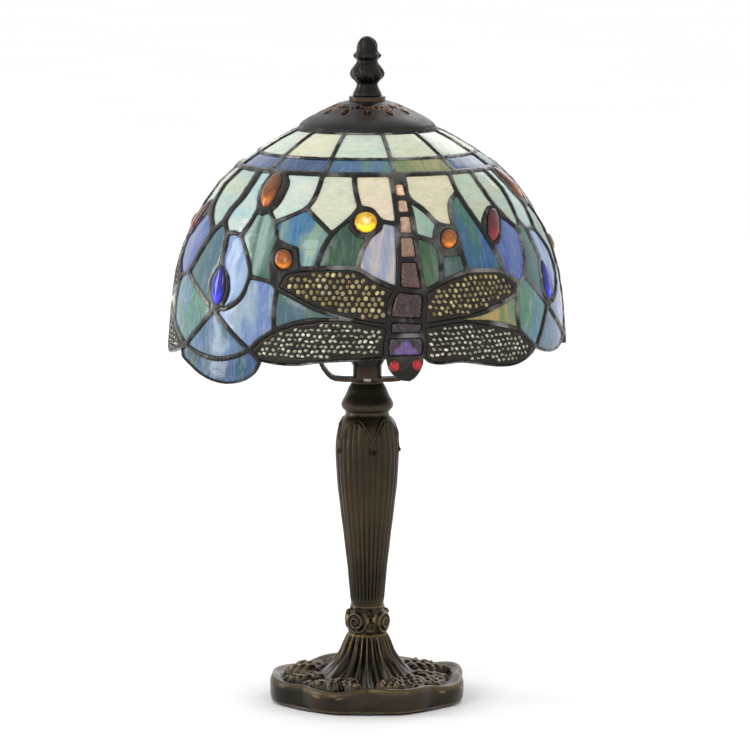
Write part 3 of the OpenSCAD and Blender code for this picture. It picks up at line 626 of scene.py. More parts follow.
BAND_BLUE = [(lit(52, 80, 130), lit(84, 112, 154)), (lit(54, 78, 122), lit(76, 106, 138)),
             (lit(98, 140, 120), lit(66, 108, 152))]
BAND_GREEN = (lit(120, 140, 84), lit(168, 160, 104))


NODE_SLOT = {"crown_glass": "cream_glass", "band_glass_blue": "blue_glass", "band_glass_green": "green_glass"}


def crown_piece(name, windows, numbers, colours, look, node):
    parts = Parts()
    for k in numbers:
        verts, faces, flow, _, _ = pane_solid(windows[k], PANE_PITCH, 0.1, 0.25)
        tint, streak = colours(k)
        parts.add(verts, faces, flow=flow, tint=tint, streak=streak)
    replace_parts(parts.make(name, glass[look], "shade", NODE_SLOT[node], sharp=50), node)


crown_piece("crown_panes", crown_windows, range(12), lambda k: CROWN_TINTS[k % 4], "cream", "crown_glass")
crown_piece("band_blue_panes", band_windows, [k for k in range(12) if k % 6], lambda k: BAND_BLUE[k % 3],
            "streaky", "band_glass_blue")
crown_piece("band_green_panes", band_windows, [0, 6], lambda k: BAND_GREEN, "streaky", "band_glass_green")


# ---------------------------------------------------------------- jewels
def fit_ellipse(p):
    """Middle, half sizes, and direction of the long axis, of the ellipse through the points."""
    m0 = p.mean(0)
    q = p - m0
    design = np.stack([q[:, 0] ** 2, q[:, 0] * q[:, 1], q[:, 1] ** 2, q[:, 0], q[:, 1]], 1)
    a, b, c, d, e = np.linalg.lstsq(design, np.ones(len(q)), rcond=None)[0]
    m = np.linalg.solve([[2 * a, b], [b, 2 * c]], [-d, -e])
    scale = 1 + a * m[0] ** 2 + b * m[0] * m[1] + c * m[1] ** 2
    values, axes = np.linalg.eigh(np.array([[a, b / 2], [b / 2, c]]) / scale)
    long_axis = axes[:, 0] if axes[1, 0] < 0 else -axes[:, 0]
    return m + m0, 1 / math.sqrt(values[1]), 1 / math.sqrt(values[0]), long_axis


def bell_at(x, middle, width):
    return math.exp(-(((x - middle) / width) ** 2))


def jewel_outline(kind, phi):
    """Across and along, in half sizes; along is +1 at the tip."""
    across, along = np.sin(phi), np.cos(phi)
    if kind == "marquise":
        across = np.sign(across) * np.abs(across) ** 1.45
    return np.stack([across, along], 1)


# Kind, colour of the core and of the edge, and strength of the painted glow
JEWELS = {
    "amber_teardrops": ("oval", srgb(136, 70, 12), srgb(46, 18, 4), 0.04),
    "amber_cabochons": ("oval", srgb(170, 92, 8), srgb(50, 22, 3), 0.1),
    "garnet_ovals": ("oval", srgb(112, 10, 26), srgb(40, 3, 10), 0.03),
    "sapphire_marquises": ("marquise", srgb(40, 44, 190), srgb(8, 8, 48), 0.08),
}
JEWEL_SEGMENTS, JEWEL_RINGS = 56, 12
jewel_windows = []
gems = {node: gem_material(node + "_gem", row[3]) for node, row in JEWELS.items()}
# One amber cabochon is painted as lit from behind: a bright yellow core and a painted hot spot of light.
BACKLIT_CABOCHON = (-0.4, 64.8)
PAINTED_HOT_SPOT = np.array((0.5, 0.55, 0.5))
for node, (kind, core, edge_colour, painted_glow) in JEWELS.items():
    parts = Parts()
    for loop in node_loops(node, JEWEL_LEVEL):
        flat, mid = flat_loop(loop)
        centre, half_w, half_l, long_axis = fit_ellipse(flat)
        cross = np.array([-long_axis[1], long_axis[0]])
        phi = np.arange(JEWEL_SEGMENTS) / JEWEL_SEGMENTS * 2 * math.pi
        ring = jewel_outline(kind, phi)
        flat_ring = centre + half_w * ring[:, :1] * cross + half_l * ring[:, 1:] * long_axis
        jewel_windows.append(unflat(flat_ring, mid))
        backlit = np.hypot(sector_angle(mid[0]) - BACKLIT_CABOCHON[0], mid[1] - BACKLIT_CABOCHON[1]) < 6
        inner_colour = np.array(srgb(250, 190, 24) if backlit and kind == "oval" else core)
        rows, heights, colours = [], [], []
        for k in range(JEWEL_RINGS + 1):
            f = k / JEWEL_RINGS
            rows.append(centre + (flat_ring - centre) * (f * 1.05))
            heights.append(np.full(JEWEL_SEGMENTS, 0.25 + 2.25 * math.sqrt(max(0, 1 - f**2.3))))
            # Lighter core, darker edge: partly the glass's own colour and partly painted light and shade of
            # the domed jewel.
            mixed = inner_colour * (1 - f**1.6) + np.array(edge_colour) * f**1.6
            # Painted backlight: the lit cabochon keeps a bright core with a painted hot spot in its middle.
            if backlit:
                mixed = inner_colour * (1 - 0.55 * f**3) + PAINTED_HOT_SPOT * bell_at(f, 0, 0.3)
            # Painted light: a brighter band on each jewel's lower side, where light shining through would
            # gather.
            low_side = np.clip((flat_ring - centre)[:, 1] / half_l, 0, 1)[:, None]
            lens = 2.4 * low_side**1.5 * bell_at(f, 0.72, 0.2)
            colours.append(np.tile(mixed, (JEWEL_SEGMENTS, 1)) + lens * inner_colour)
        spots, height = np.vstack(rows[1:]), np.concatenate(heights[1:])
        spots, height = np.vstack([[centre], spots]), np.concatenate([[heights[0][0]], height])
        place = unflat(spots, mid)
        top = on_dome(place[:, 0], place[:, 1], height)
        rim_first = 1 + (JEWEL_RINGS - 1) * JEWEL_SEGMENTS
        back_ring = on_dome(place[rim_first:, 0], place[rim_first:, 1], GLASS_BACK)
        back_mid = on_dome(place[:1, 0], place[:1, 1], GLASS_BACK - 0.4)
        verts = np.vstack([top, back_ring, back_mid])
        n_top, faces, m = len(top), [], JEWEL_SEGMENTS
        for j in range(m):
            nxt = (j + 1) % m
            faces.append([0, 1 + j, 1 + nxt])
            for k in range(JEWEL_RINGS - 1):
                a, b = 1 + k * m + j, 1 + k * m + nxt
                faces.append([a, a + m, b + m, b])
            faces.append([rim_first + j, n_top + j, n_top + nxt, rim_first + nxt])
            faces.append([n_top + j, n_top + m, n_top + nxt])
        if (np.cross(verts[1] - verts[0], verts[2] - verts[0]) * outward_at(*place[0])).sum() < 0:
            faces = [f[::-1] for f in faces]
        tint = np.vstack([[inner_colour], np.vstack(colours[1:]), np.vstack(colours[-1:]), [np.array(core)]])
        parts.add(verts, faces, tint=tint)
    slot = {"amber_teardrops": "amber_glass", "amber_cabochons": "amber_glass",
            "garnet_ovals": "garnet_glass", "sapphire_marquises": "sapphire_glass"}[node]
    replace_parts(parts.make(node + "_jewels", gems[node], "shade", slot, sharp=60), node)

# ---------------------------------------------------------------- dragonfly plates
plate_material = glass_material("plate_glass", rough=(0.12, 0.35), wisp=0.16, stretch=(1.4, 1.1, 1),
                                ripple=(1.8, 1.8, 1), ripple_mm=0.8, streak_scale=1.8, milk=(0.5, 0.36, 0.3))
BODY_COLOURS = {108: (srgb(58, 36, 34), srgb(28, 18, 22)), 119: (srgb(44, 32, 40), srgb(26, 20, 28)),
                128: (srgb(46, 34, 48), srgb(26, 20, 30))}
VIOLET = np.array(srgb(104, 80, 140))
VIOLET_PLATE_S = 124
for node in ("tail_glass", "body_glass"):
    parts = Parts()
    for loop in node_loops(node, PLATE_LEVEL):
        verts, faces, flow, mid, place = pane_solid(loop, 1.1, 0.5, 0.95, grow=0.25, edge_drop=0.5)
        if node == "tail_glass":
            f = np.clip((mid[1] - 44) / 50, 0, 1)
            tint = TAIL_TOP * (1 - f) + TAIL_END * f
            streak = tint * 0.6
        else:
            tint, streak = BODY_COLOURS[min(BODY_COLOURS, key=lambda s: abs(s - mid[1]))]
            if mid[1] > VIOLET_PLATE_S:
                # a violet triangle, apex up, in the dark plate
                half = 0.5 * np.ptp(place[:, 0])
                down = (place[:, 1] - place[:, 1].min()) / np.ptp(place[:, 1])
                violet = (np.abs(place[:, 0] - mid[0]) < half * (down - 0.1)) & (down < 0.92)
                tint = np.where(violet[:, None], VIOLET, np.array(tint))
                streak = np.where(violet[:, None], VIOLET * 0.7, np.array(streak))
        parts.add(verts, faces, flow=flow, tint=tint, streak=streak)
    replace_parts(parts.make(node + "_plates", plate_material, "shade", node, sharp=60), node)

# ---------------------------------------------------------------- wings: glass nuggets under a pierced web
wing_material = glass_material("wing_nuggets", rough=(0.04, 0.14), wisp=0.3, stretch=(2, 2, 1),
                               ripple=(2, 2, 1), ripple_mm=0.2, streak_scale=3, milk=(0.7, 0.66, 0.52))
web_material = bronze_material("wing_web", (0.005, 0.004, 0.004), (0.012, 0.011, 0.009), (0.05, 0.042, 0.032),
                               grain=300, rough=(0.3, 0.45), patchy_low=0.2)
GOLD, PEARL = (srgb(120, 100, 50), srgb(206, 190, 132)), (srgb(150, 142, 120), srgb(236, 230, 212))
# For each of the four wings, by left and upper:
# half width, half length, spacing, colours and lean of its holes
WING_HOLES = {(True, True): (1.12, 1.3, 3.3, GOLD, 0.2), (False, True): (0.92, 1.2, 3.15, GOLD, -0.7),
              (True, False): (0.78, 1.12, 3.0, PEARL, 1.4), (False, False): (0.76, 1.12, 3.0, PEARL, -1.2)}
NUGGET_RINGS, NUGGET_SIDES = 3, 10
nuggets, web = Parts(), Parts()
wing_windows = []
for loop in node_loops("wing_glass", GLASS_LEVEL):
    flat, mid = flat_loop(loop)
    turned = (sector_angle(mid[0]) - 13 + SECTOR_SPAN / 2) % SECTOR_SPAN - SECTOR_SPAN / 2
    half_w, half_l, pitch, colours, hole_lean = WING_HOLES[(turned < 0, mid[1] < 112)]
    verts, faces, flow, _, _ = pane_solid(loop, 2.4, 0.1, 0.1)
    nuggets.add(verts, faces, flow=flow, tint=colours[0], streak=np.array(colours[0]) * 0.5)
    outline = grown(smooth_loop(flat, 0.9), 0.3)
    wing_windows.append(outline)
    wander = hex_grid(outline, pitch, half_l + 0.75)
    wander = wander + np.array([[rng.uniform(-0.3, 0.3), rng.uniform(-0.3, 0.3)] for _ in wander]) * pitch / 2
    apart = np.sqrt(((wander[:, None] - wander[None]) ** 2).sum(2)) + 99 * np.eye(len(wander))
    room = 0.43 * apart.min(1)
    points, loops = [outline], [list(range(len(outline)))]
    count = len(outline)
    for spot, most in zip(wander, room):
        lean = hole_lean + rng.uniform(-0.55, 0.55)
        w, l = min(most, half_w * rng.uniform(0.82, 1.12)), min(most, half_l * rng.uniform(0.82, 1.12))
        phi = np.arange(NUGGET_SIDES) / NUGGET_SIDES * 2 * math.pi
        x, y = w * np.sin(phi), l * np.cos(phi)
        ring = spot + np.stack([x * math.cos(lean) - y * math.sin(lean), x * math.sin(lean) + y
                                * math.cos(lean)], 1)
        points.append(ring)
        loops.append(list(range(count, count + NUGGET_SIDES)))
        count += NUGGET_SIDES
        # the nugget of glass that fills this hole
        tone = rng.uniform(0, 1)
        tone_colour = np.array(colours[0]) * (1 - tone) + np.array(colours[1]) * tone
        tone_colour = tone_colour * rng.uniform(0.45, 1.05)
        stack = []
        for k in range(NUGGET_RINGS):
            f = 1.08 * (1 - k / NUGGET_RINGS)
            h = 0.25 + 0.75 * math.sqrt(max(0, 1 - (f / 1.15) ** 2))
            place = unflat(spot + (ring - spot) * f, mid)
            stack.append(on_dome(place[:, 0], place[:, 1], h))
        peak = unflat(np.array([spot]), mid)
        stack.append(on_dome(peak[:, 0], peak[:, 1], 0.98))
        stack.append(on_dome(peak[:, 0], peak[:, 1], -0.4))
        verts, faces, m = np.vstack(stack), [], NUGGET_SIDES
        tip, foot = NUGGET_RINGS * m, NUGGET_RINGS * m + 1
        for j in range(m):
            nxt = (j + 1) % m
            for k in range(NUGGET_RINGS - 1):
                faces.append([k * m + j, k * m + nxt, (k + 1) * m + nxt, (k + 1) * m + j])
            faces.append([(NUGGET_RINGS - 1) * m + j, (NUGGET_RINGS - 1) * m + nxt, tip])
            faces.append([foot, j + 0, nxt][::-1])
        probe = np.cross(verts[1] - verts[tip], verts[0] - verts[tip])
        if (probe * outward_at(peak[0, 0], peak[0, 1])).sum() > 0:
            faces = [f[::-1] for f in faces]
        nuggets.add(verts, faces, flow=np.tile([spot[0] / 10, spot[1] / 10, tone * 9], (len(verts), 1)),
                    tint=tone_colour, streak=tone_colour * 0.6)
    spots, kept = triangulate(np.vstack(points), loops)
    # crest points between the holes, as the middle of each triangle that spans two holes
    tree = KDTree(count)
    everything = np.vstack(points)
    for i, p in enumerate(everything):
        tree.insert((p[0], p[1], 0), i)
    tree.balance()
    crest = []
    for t in kept:
        c = spots[list(t)].mean(0)
        if tree.find((c[0], c[1], 0))[2] > 0.3:
            crest.append(c)
    if crest:
        spots, kept = triangulate(np.vstack([everything, np.array(crest)]), loops)
    near = np.array([tree.find((p[0], p[1], 0))[2] for p in spots])
    place = unflat(spots, mid)
    height = 0.5 + 0.55 * np.sqrt(np.clip(near / 0.6, 0, 1))
    outer = on_dome(place[:, 0], place[:, 1], height)
    inner = on_dome(place[:, 0], place[:, 1], 0.2)
    verts, faces, _ = closed_sheet(kept, outer, inner, outward_at(place[:, 0], place[:, 1]))
    web.add(verts, faces)
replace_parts(nuggets.make("wing_nuggets", wing_material, "shade", "wing_glass", sharp=60), "wing_glass")
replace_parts(web.make("wing_web", web_material, "shade", "lead", sharp=70), "wing_filigree")

# ---------------------------------------------------------------- the lead
POLAR_START = 30
lead = lead_material("lead_came")


def polar(place):
    a, rho = np.radians(place[:, 0]), place[:, 1] + POLAR_START
    return np.stack([rho * np.cos(a), rho * np.sin(a)], 1)


def unpolar(p):
    return np.stack([np.degrees(np.arctan2(p[:, 1], p[:, 0])), np.hypot(p[:, 0], p[:, 1]) - POLAR_START], 1)


all_loops = node_loops("lead_network", 1.2)
round_loops = [l for l in all_loops if np.ptp(l[:, 0]) > 300]
rim_loop = max(round_loops, key=lambda l: l[:, 1].mean())
LEAD_STEP = 0.95


def is_jewel(loop):
    mid = loop.mean(0)
    for w in jewel_windows:
        other = w.mean(0)
        gap = (mid[0] - other[0] + 180) % 360 - 180
        if abs(math.radians(gap)) * dome(mid[1])[0] < 3.2 and abs(mid[1] - other[1]) < 3.2:
            return True
    return False


windows = []
for loop in all_loops:
    if np.ptp(loop[:, 0]) > 300 or is_jewel(loop):
        continue
    flat, mid = flat_loop(loop)
    windows.append(unflat(smooth_loop(flat, LEAD_STEP), mid))
windows += jewel_windows
for w in crown_windows + band_windows:
    flat, mid = flat_loop(w)
    windows.append(unflat(smooth_loop(flat, LEAD_STEP), mid))
RIM_FLAT = 1.8              # mm across for each degree, where the rim is laid flat
rim_flat = np.stack([rim_loop[:, 0] * RIM_FLAT, rim_loop[:, 1]], 1)
turn = np.sign(rim_loop[-1, 0] - rim_loop[0, 0])
closing = np.array([[rim_flat[0, 0] + turn * 360 * RIM_FLAT, rim_flat[0, 1]]])
span = np.vstack([rim_flat, closing])
rim_edge = []
for i in range(len(span) - 1):
    a, b = span[i], span[i + 1]
    before = span[i - 1] if i else rim_flat[-1] - np.array([turn * 360 * RIM_FLAT, 0])
    after = span[i + 2] if i + 2 < len(span) else rim_flat[1] + np.array([turn * 360 * RIM_FLAT, 0])
    length = np.linalg.norm(b - a)

    def lean(p, q, r):
        u, v = (q - p) / np.linalg.norm(q - p), (r - q) / np.linalg.norm(r - q)
        if np.degrees(np.arccos(np.clip(u @ v, -1, 1))) > 40:
            return (b - a) / length
        return (u + v) / np.linalg.norm(u + v)
    ta, tb = lean(before, a, b), lean(a, b, after)
    k = max(1, round(length / LEAD_STEP))
    for x in np.arange(k) / k:
        rim_edge.append((2 * x**3 - 3 * x**2 + 1) * a + (x**3 - 2 * x**2 + x) * ta * length
                        + (3 * x**2 - 2 * x**3) * b + (x**3 - x**2) * tb * length)
rim_edge = np.array(rim_edge)
rim_place = np.stack([rim_edge[:, 0] / RIM_FLAT, rim_edge[:, 1]], 1)
top_place = np.stack([np.arange(0, 360, 1.4), np.full(len(np.arange(0, 360, 1.4)), 0.3)], 1)
loops_place = [rim_place, top_place] + windows

boundary = np.vstack([on_dome(l[:, 0], l[:, 1], 0) for l in loops_place])
edge_tree = KDTree(len(boundary))
for i, p in enumerate(boundary):
    edge_tree.insert(p, i)
edge_tree.balance()
rows = []
seen = {}
for number, loop in enumerate(loops_place):
    flat = np.stack([np.radians(loop[:, 0]) * dome(loop[:, 1])[:, 0].mean(), loop[:, 1]], 1)
    t = np.roll(flat, -1, 0) - np.roll(flat, 1, 0)
    t[np.abs(t[:, 0]) > 100, 0] = np.sign(t[np.abs(t[:, 0]) > 100, 0]) * -2
    t /= np.linalg.norm(t, axis=1)[:, None] + 1e-9
    if number == 0:
        normal = np.stack([t[:, 1], -t[:, 0]], 1)
        normal = normal * np.sign(-normal[:, 1].sum())
    elif number == 1:
        normal = np.tile([0.0, 1.0], (len(loop), 1))
    else:
        side = 1 if signed_area(flat) > 0 else -1
        normal = side * np.stack([t[:, 1], -t[:, 0]], 1)
    for depth in (0.45, 0.95, 1.45):
        spot = np.stack([loop[:, 0] + np.degrees(normal[:, 0] * depth / dome(loop[:, 1])[:, 0]),
                         loop[:, 1] + normal[:, 1] * depth], 1)
        for place, p in zip(spot, on_dome(spot[:, 0], spot[:, 1], 0)):
            if edge_tree.find(p)[2] < depth * 0.93:
                continue
            cell = tuple(int(math.floor(c / 0.42)) for c in p)
            if any((cell[0] + i, cell[1] + j, cell[2] + k) in seen
                   for i in (-1, 0, 1) for j in (-1, 0, 1) for k in (-1, 0, 1)):
                continue
            seen[cell] = True
            rows.append(place)
places = loops_place + [np.array(rows)]
starts = np.cumsum([0] + [len(p) for p in places])
points = polar(np.vstack(places))
spots, kept = triangulate(points, [range(starts[i], starts[i + 1]) for i in range(len(loops_place))])
place = unpolar(spots)
middle = on_dome(place[:, 0], place[:, 1], 0)
gap = np.array([edge_tree.find(p)[2] for p in middle])
crown = np.clip(gap / LEAD_HALF, 0, 1)
wave = (0.07 * np.sin(middle @ np.array([1.1, 0.7, 0.9])) + 0.06
        * np.sin(middle @ np.array([-0.8, 1.3, 0.5]) + 1))
rise = (LEAD_RISE + wave) * np.sqrt(1 - (1 - crown) ** 2)
outer = on_dome(place[:, 0], place[:, 1], LEAD_EDGE + rise)
inner = on_dome(place[:, 0], place[:, 1], LEAD_BACK - 0.8 * np.sqrt(1 - (1 - crown) ** 2))
verts, faces, _ = closed_sheet(kept, outer, inner, outward_at(place[:, 0], place[:, 1]))
lead_piece = piece("shade_lead", verts, faces, lead, "shade", "lead", sharp=60)
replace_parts(lead_piece, "lead_network", "crown_came")

# Dragonfly eyes: domed red glass
# Painted glow: the eyes give off light, though they are no lamp.
eye_material = gem_material("eye_glass", 0.15)
EYE_R = 3
eyes = Parts()
for k in range(3):
    for t, s in ((7.6, 138), (13.9, 137.6)):
        az = float(np.interp(t, SECTOR_T, SECTOR_AZ[k]))
        spots, heights = [(0, 0)], [2.65]
        for ring in range(1, 9):
            f = ring / 8
            for j in range(28):
                a = j / 28 * 2 * math.pi
                spots.append((EYE_R * f * math.sin(a), EYE_R * 1.1 * f * math.cos(a)))
                heights.append(0.9 + 1.75 * math.sqrt(1 - f * f))
        spots = np.array(spots)
        where = unflat(spots + [0, s], np.array([az, s]))
        verts = np.vstack([on_dome(where[:, 0], where[:, 1], heights),
                           on_dome(where[-28:, 0], where[-28:, 1], 0.2)])
        faces = []
        for j in range(28):
            nxt = (j + 1) % 28
            faces.append([0, 1 + nxt, 1 + j])
            faces += [[1 + r * 28 + j, 1 + r * 28 + nxt, 29 + r * 28 + nxt, 29 + r * 28 + j]
                      for r in range(8)]
        faces.append([len(verts) - 1 - j for j in range(28)])
        probe = np.cross(verts[1] - verts[0], verts[2] - verts[0])
        if (probe * outward_at(az, s)).sum() > 0:
            faces = [f[::-1] for f in faces]
        f = np.clip(np.hypot(spots[:, 0], spots[:, 1]) / EYE_R, 0, 1)[:, None]
        # Lighter red in the middle, darker at the rim: partly the glass's colour and partly painted shading of
        # the dome.
        tint = np.array(srgb(205, 18, 18)) * (1 - f) + np.array(srgb(70, 2, 4)) * f
        eyes.add(verts, faces, tint=np.vstack([tint, np.tile(srgb(90, 6, 8), (28, 1))]))
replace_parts(eyes.make("dragonfly_eye_domes", eye_material, "shade", "red_glass", sharp=70), "dragonfly_eyes")


# ---------------------------------------------------------------- turned and cast metal
def dense(profile, step, smooth=True):
    """A profile as a curve with a point about every step; a repeated point makes a hard corner."""
    p = np.asarray(profile, float)
    out = []
    for i in range(len(p) - 1):
        length = np.linalg.norm(p[i + 1] - p[i])
        if length < 1e-6:
            continue
        chord = (p[i + 1] - p[i]) / length

        def tangent(j):
            if not smooth or j == 0 or j == len(p) - 1:
                return chord
            u, v = p[j] - p[j - 1], p[j + 1] - p[j]
            nu, nv = np.linalg.norm(u), np.linalg.norm(v)
            if nu < 1e-6 or nv < 1e-6 or (u @ v) / (nu * nv) < 0.35:
                return chord
            w = u / nu + v / nv
            return w / np.linalg.norm(w)
        ta, tb = tangent(i), tangent(i + 1)
        k = max(1, round(length / step))
        for x in np.arange(k) / k:
            out.append((2 * x**3 - 3 * x**2 + 1) * p[i] + (x**3 - 2 * x**2 + x) * ta * length
                       + (3 * x**2 - 2 * x**3) * p[i + 1] + (x**3 - x**2) * tb * length)
    out.append(p[-1])
    return np.array(out)


def lathe(profile, sides, relief=None):
    """Revolves a profile that ends on the axis at both ends, or a closed one.

    relief(az, r, z) gives dr and dz.
    """
    closed = np.linalg.norm(profile[0] - profile[-1]) < 1e-6
    rows = profile[:-1] if closed else profile
    az = np.arange(sides) / sides * 360
    verts, ids = [], []
    for r, z in rows:
        if r < 1e-6:
            ids.append([len(verts)])
            verts.append((0, 0, z))
            continue
        rr, zz = np.full(sides, r), np.full(sides, z)
        if relief:
            dr, dz = relief(az, rr, zz)
            rr, zz = rr + dr, zz + dz
        ids.append(list(range(len(verts), len(verts) + sides)))
        a = np.radians(az)
        verts.extend(np.stack([rr * np.sin(a), -rr * np.cos(a), zz], 1).tolist())
    faces = []
    pairs = list(zip(ids, ids[1:] + ids[:1])) if closed else list(zip(ids, ids[1:]))
    for low, high in pairs:
        if len(low) == 1 and len(high) == 1:
            continue
        for j in range(sides):
            k = (j + 1) % sides
            if len(low) == 1:
                faces.append([low[0], high[k], high[j]])
            elif len(high) == 1:
                faces.append([low[j], low[k], high[0]])
            else:
                faces.append([low[j], low[k], high[k], high[j]])
    verts = np.array(verts)
    volume = sum(np.dot(verts[f[0]], np.cross(verts[f[1]], verts[f[2]]))
                 + (np.dot(verts[f[0]], np.cross(verts[f[2]], verts[f[3]])) if len(f) == 4 else 0)
                 for f in faces)
    if volume < 0:
        faces = [f[::-1] for f in faces]
    return verts, faces


bronze = bronze_material("bronze_patina", (0.011, 0.009, 0.006), (0.033, 0.026, 0.016), (0.15, 0.1, 0.046))
stem_bronze = bronze_material("stem_bronze", (0.014, 0.010, 0.005), (0.046, 0.034, 0.015), (0.1, 0.068, 0.03),
                              rough=(0.26, 0.42), wear_at=(0.5, 0.64))
base_bronze = bronze_material("base_bronze", (0.011, 0.009, 0.006), (0.04, 0.03, 0.017), (0.4, 0.27, 0.12),
                              rough=(0.24, 0.4), wear_at=(0.505, 0.6), patchy_low=0.3)
dark_bronze = bronze_material("dark_bronze", (0.006, 0.005, 0.004), (0.015, 0.012, 0.010),
                              (0.07, 0.045, 0.028),
                              rough=(0.26, 0.42))
ROD_R = 4.9


def bell(x):
    return np.exp(-x * x)


# Base: scalloped rim, dished top, roots into the trunk, leaf clusters
BASE_TOP = 34.7
FELT_T = 1.5
CLUSTERS = (-42, 50, 138, 226)
LEAVES = []
LEAVES_EACH = 6
for a in CLUSTERS:
    for k in range(LEAVES_EACH):
        off = -28 + 56 * k / (LEAVES_EACH - 1) + rng.uniform(-3, 3)
        reach = rng.uniform(33, 39)
        LEAVES.append((a + off, reach, a + off - 90 + rng.uniform(-70, 70), rng.uniform(8.5, 12),
                       rng.uniform(4, 5.4), rng.uniform(4, 6.6)))
BERRIES = [(a + rng.uniform(-28, 28), rng.uniform(38, 45), rng.uniform(1.5, 2.2)) for a in CLUSTERS
           for _ in range(4)]
DISH = [(47.6, 12.9), (45.6, 12.2), (42, 10.4), (36, 10.0), (28, 12), (21, 16.5), (16.5, 21), (14.2, 24),
        (12.4, 28), (11.1, 31.5), (10.3, BASE_TOP)]


def rim_radius(az):
    wave = 0.5 + 0.5 * np.cos(np.radians(8 * (az - 22.5) + 14 * np.sin(np.radians(3 * az))))
    return 48.7 + 4.1 * wave**0.7 + 0.4 * np.sin(np.radians(3 * az + 40))


def base_relief(az, r, z):
    a = np.radians(az)
    outer = np.clip((r - 40) / 8, 0, 1)
    dr = (rim_radius(az) - 50.2) * outer**1.5
    dz = np.zeros_like(r)
    top = z > 9.2
    if not top.all():
        gland = np.clip(1 - np.hypot((az - 180) * 0.87, z - 7) / 3.1, 0, 1)
        return dr - np.where(r > 48, 5 * np.clip(gland * 6, 0, 1), 0), dz
    x, y = (r + dr) * np.sin(a), -(r + dr) * np.cos(a)
    dz = dz + np.clip((r - 43) / 4, 0, 1) * (1.1 * np.sin(np.radians(4 * az + 30)) + 0.5
                                             * np.cos(np.radians(9 * az)))
    between = np.cos(2 * (a - math.radians(4)))
    trunk = np.clip((34 + 13 * between - r) / 14, 0, 1)
    big = np.abs(np.cos(4 * a + 0.3)) ** 2
    fine = np.cos(22 * a + 1.6 * np.sin(2 * a) + 0.06 * r * np.sin(5 * a)) + 0.4 * np.cos(35 * a + 0.1 * r)
    dz = dz + trunk * (1 - np.clip((12 - r) / 2, 0, 1)) * (1.0 * fine + 3.0 * big
                                                           * np.clip((r - 11) / 10, 0, 1))
    dr = dr + np.clip((20 - r) / 8, 0, 1) * 0.65 * fine * np.clip((BASE_TOP - z) / 3, 0, 1)
    lump = np.zeros_like(r)
    for la, lr, turn, length, width, height in LEAVES:
        cx, cy = lr * math.sin(math.radians(la)), -lr * math.cos(math.radians(la))
        ct, st = math.cos(math.radians(turn)), math.sin(math.radians(turn))
        u, v = (x - cx) * ct + (y - cy) * st, -(x - cx) * st + (y - cy) * ct
        shape = 1 - (u / length) ** 2 - (v / (width * (1.15 - 0.4 * (u / length)))) ** 2
        vein = 0.9 * bell(v / 0.9) + 0.4 * np.cos(1.25 * (u - np.abs(v)))
        lump = np.maximum(lump, np.where(shape > 0, height * np.sqrt(np.clip(shape, 0, 1)) - vein, 0))
    for ba, br, size in BERRIES:
        cx, cy = br * math.sin(math.radians(ba)), -br * math.cos(math.radians(ba))
        q = ((x - cx) ** 2 + (y - cy) ** 2) / size**2
        lump = np.maximum(lump, np.where(q < 1, 1.6 + size * np.sqrt(np.clip(1 - q, 0, 1)), 0))
    dz = dz + lump * np.clip((46.6 - r) / 3, 0, 1) * np.clip((r - 20) / 6, 0, 1)
    return dr, dz


outer_wall = dense([(49.4, FELT_T), (50, 4), (50.2, 8), (50.1, 11), (49.4, 12.6), (48.4, 13.2),
                    (47.6, 12.9)], 0.7)
dished = dense(DISH, 0.55)
under = dense([(10.3, BASE_TOP), (ROD_R, BASE_TOP), (ROD_R, 13), (14, 13), (18, 11), (26, 8.5), (36, 7),
               (45, 8),
               (45, FELT_T), (49.4, FELT_T)], 2.5, smooth=False)
base_verts, base_faces = lathe(np.vstack([outer_wall, dished[1:], under[1:]]), 420, base_relief)
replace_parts(piece("base_leaf_casting", base_verts, base_faces, base_bronze, "root", "bronze", sharp=70),
            "base_casting")


# Knot: a beaded collar with four spiral rosettes and smaller spiral bosses between them
def spiral_boss(parts, az, z, reach, radius):
    """A domed disc with a raised spiral, facing outwards."""
    a = math.radians(az)
    centre = np.array([reach * math.sin(a), -reach * math.cos(a), z])
    face = np.array([math.sin(a), -math.cos(a), 0.0])
    right = np.array([math.cos(a), math.sin(a), 0.0])
    up = np.array([0, 0, 1.0])
    sides, rings = 56, 22
    verts = [centre + face * (3.5 + 1.2)]
    for k in range(1, rings + 1):
        f = k / rings
        for j in range(sides):
            phi = j / sides * 2 * math.pi
            turn = (f * 2.6 - phi / (2 * math.pi)) % 1
            ridge = 0.95 * bell((turn - 0.5) / 0.24) * min(1, 3 * f) * (1 if f < 0.93 else 0.3)
            h = 3.5 * math.sqrt(max(0, 1 - f**2.4)) + ridge
            verts.append(centre + face * h + radius * f * (right * math.cos(phi) + up * math.sin(phi)))
    verts.append(centre - face * 2)
    back = len(verts) - 1
    faces = []
    for j in range(sides):
        k = (j + 1) % sides
        faces.append([0, 1 + j, 1 + k])
        for r in range(rings - 1):
            faces.append([1 + r * sides + j, 1 + (r + 1) * sides + j, 1 + (r + 1) * sides + k, 1 + r
                          * sides + k])
        faces.append([1 + (rings - 1) * sides + j, back, 1 + (rings - 1) * sides + k])
    parts.add(verts, faces)


def knot_relief(az, r, z):
    a = np.radians(az)
    wave = 0.4 * np.cos(10 * a + 0.25 * (z - 40)) + 0.25 * np.cos(7 * a - 0.4 * z)
    fade = np.clip((z - BASE_TOP) / 2, 0, 1) * np.clip((49.5 - z) / 2, 0, 1) * (r > 6)
    return wave * fade, np.zeros_like(r)


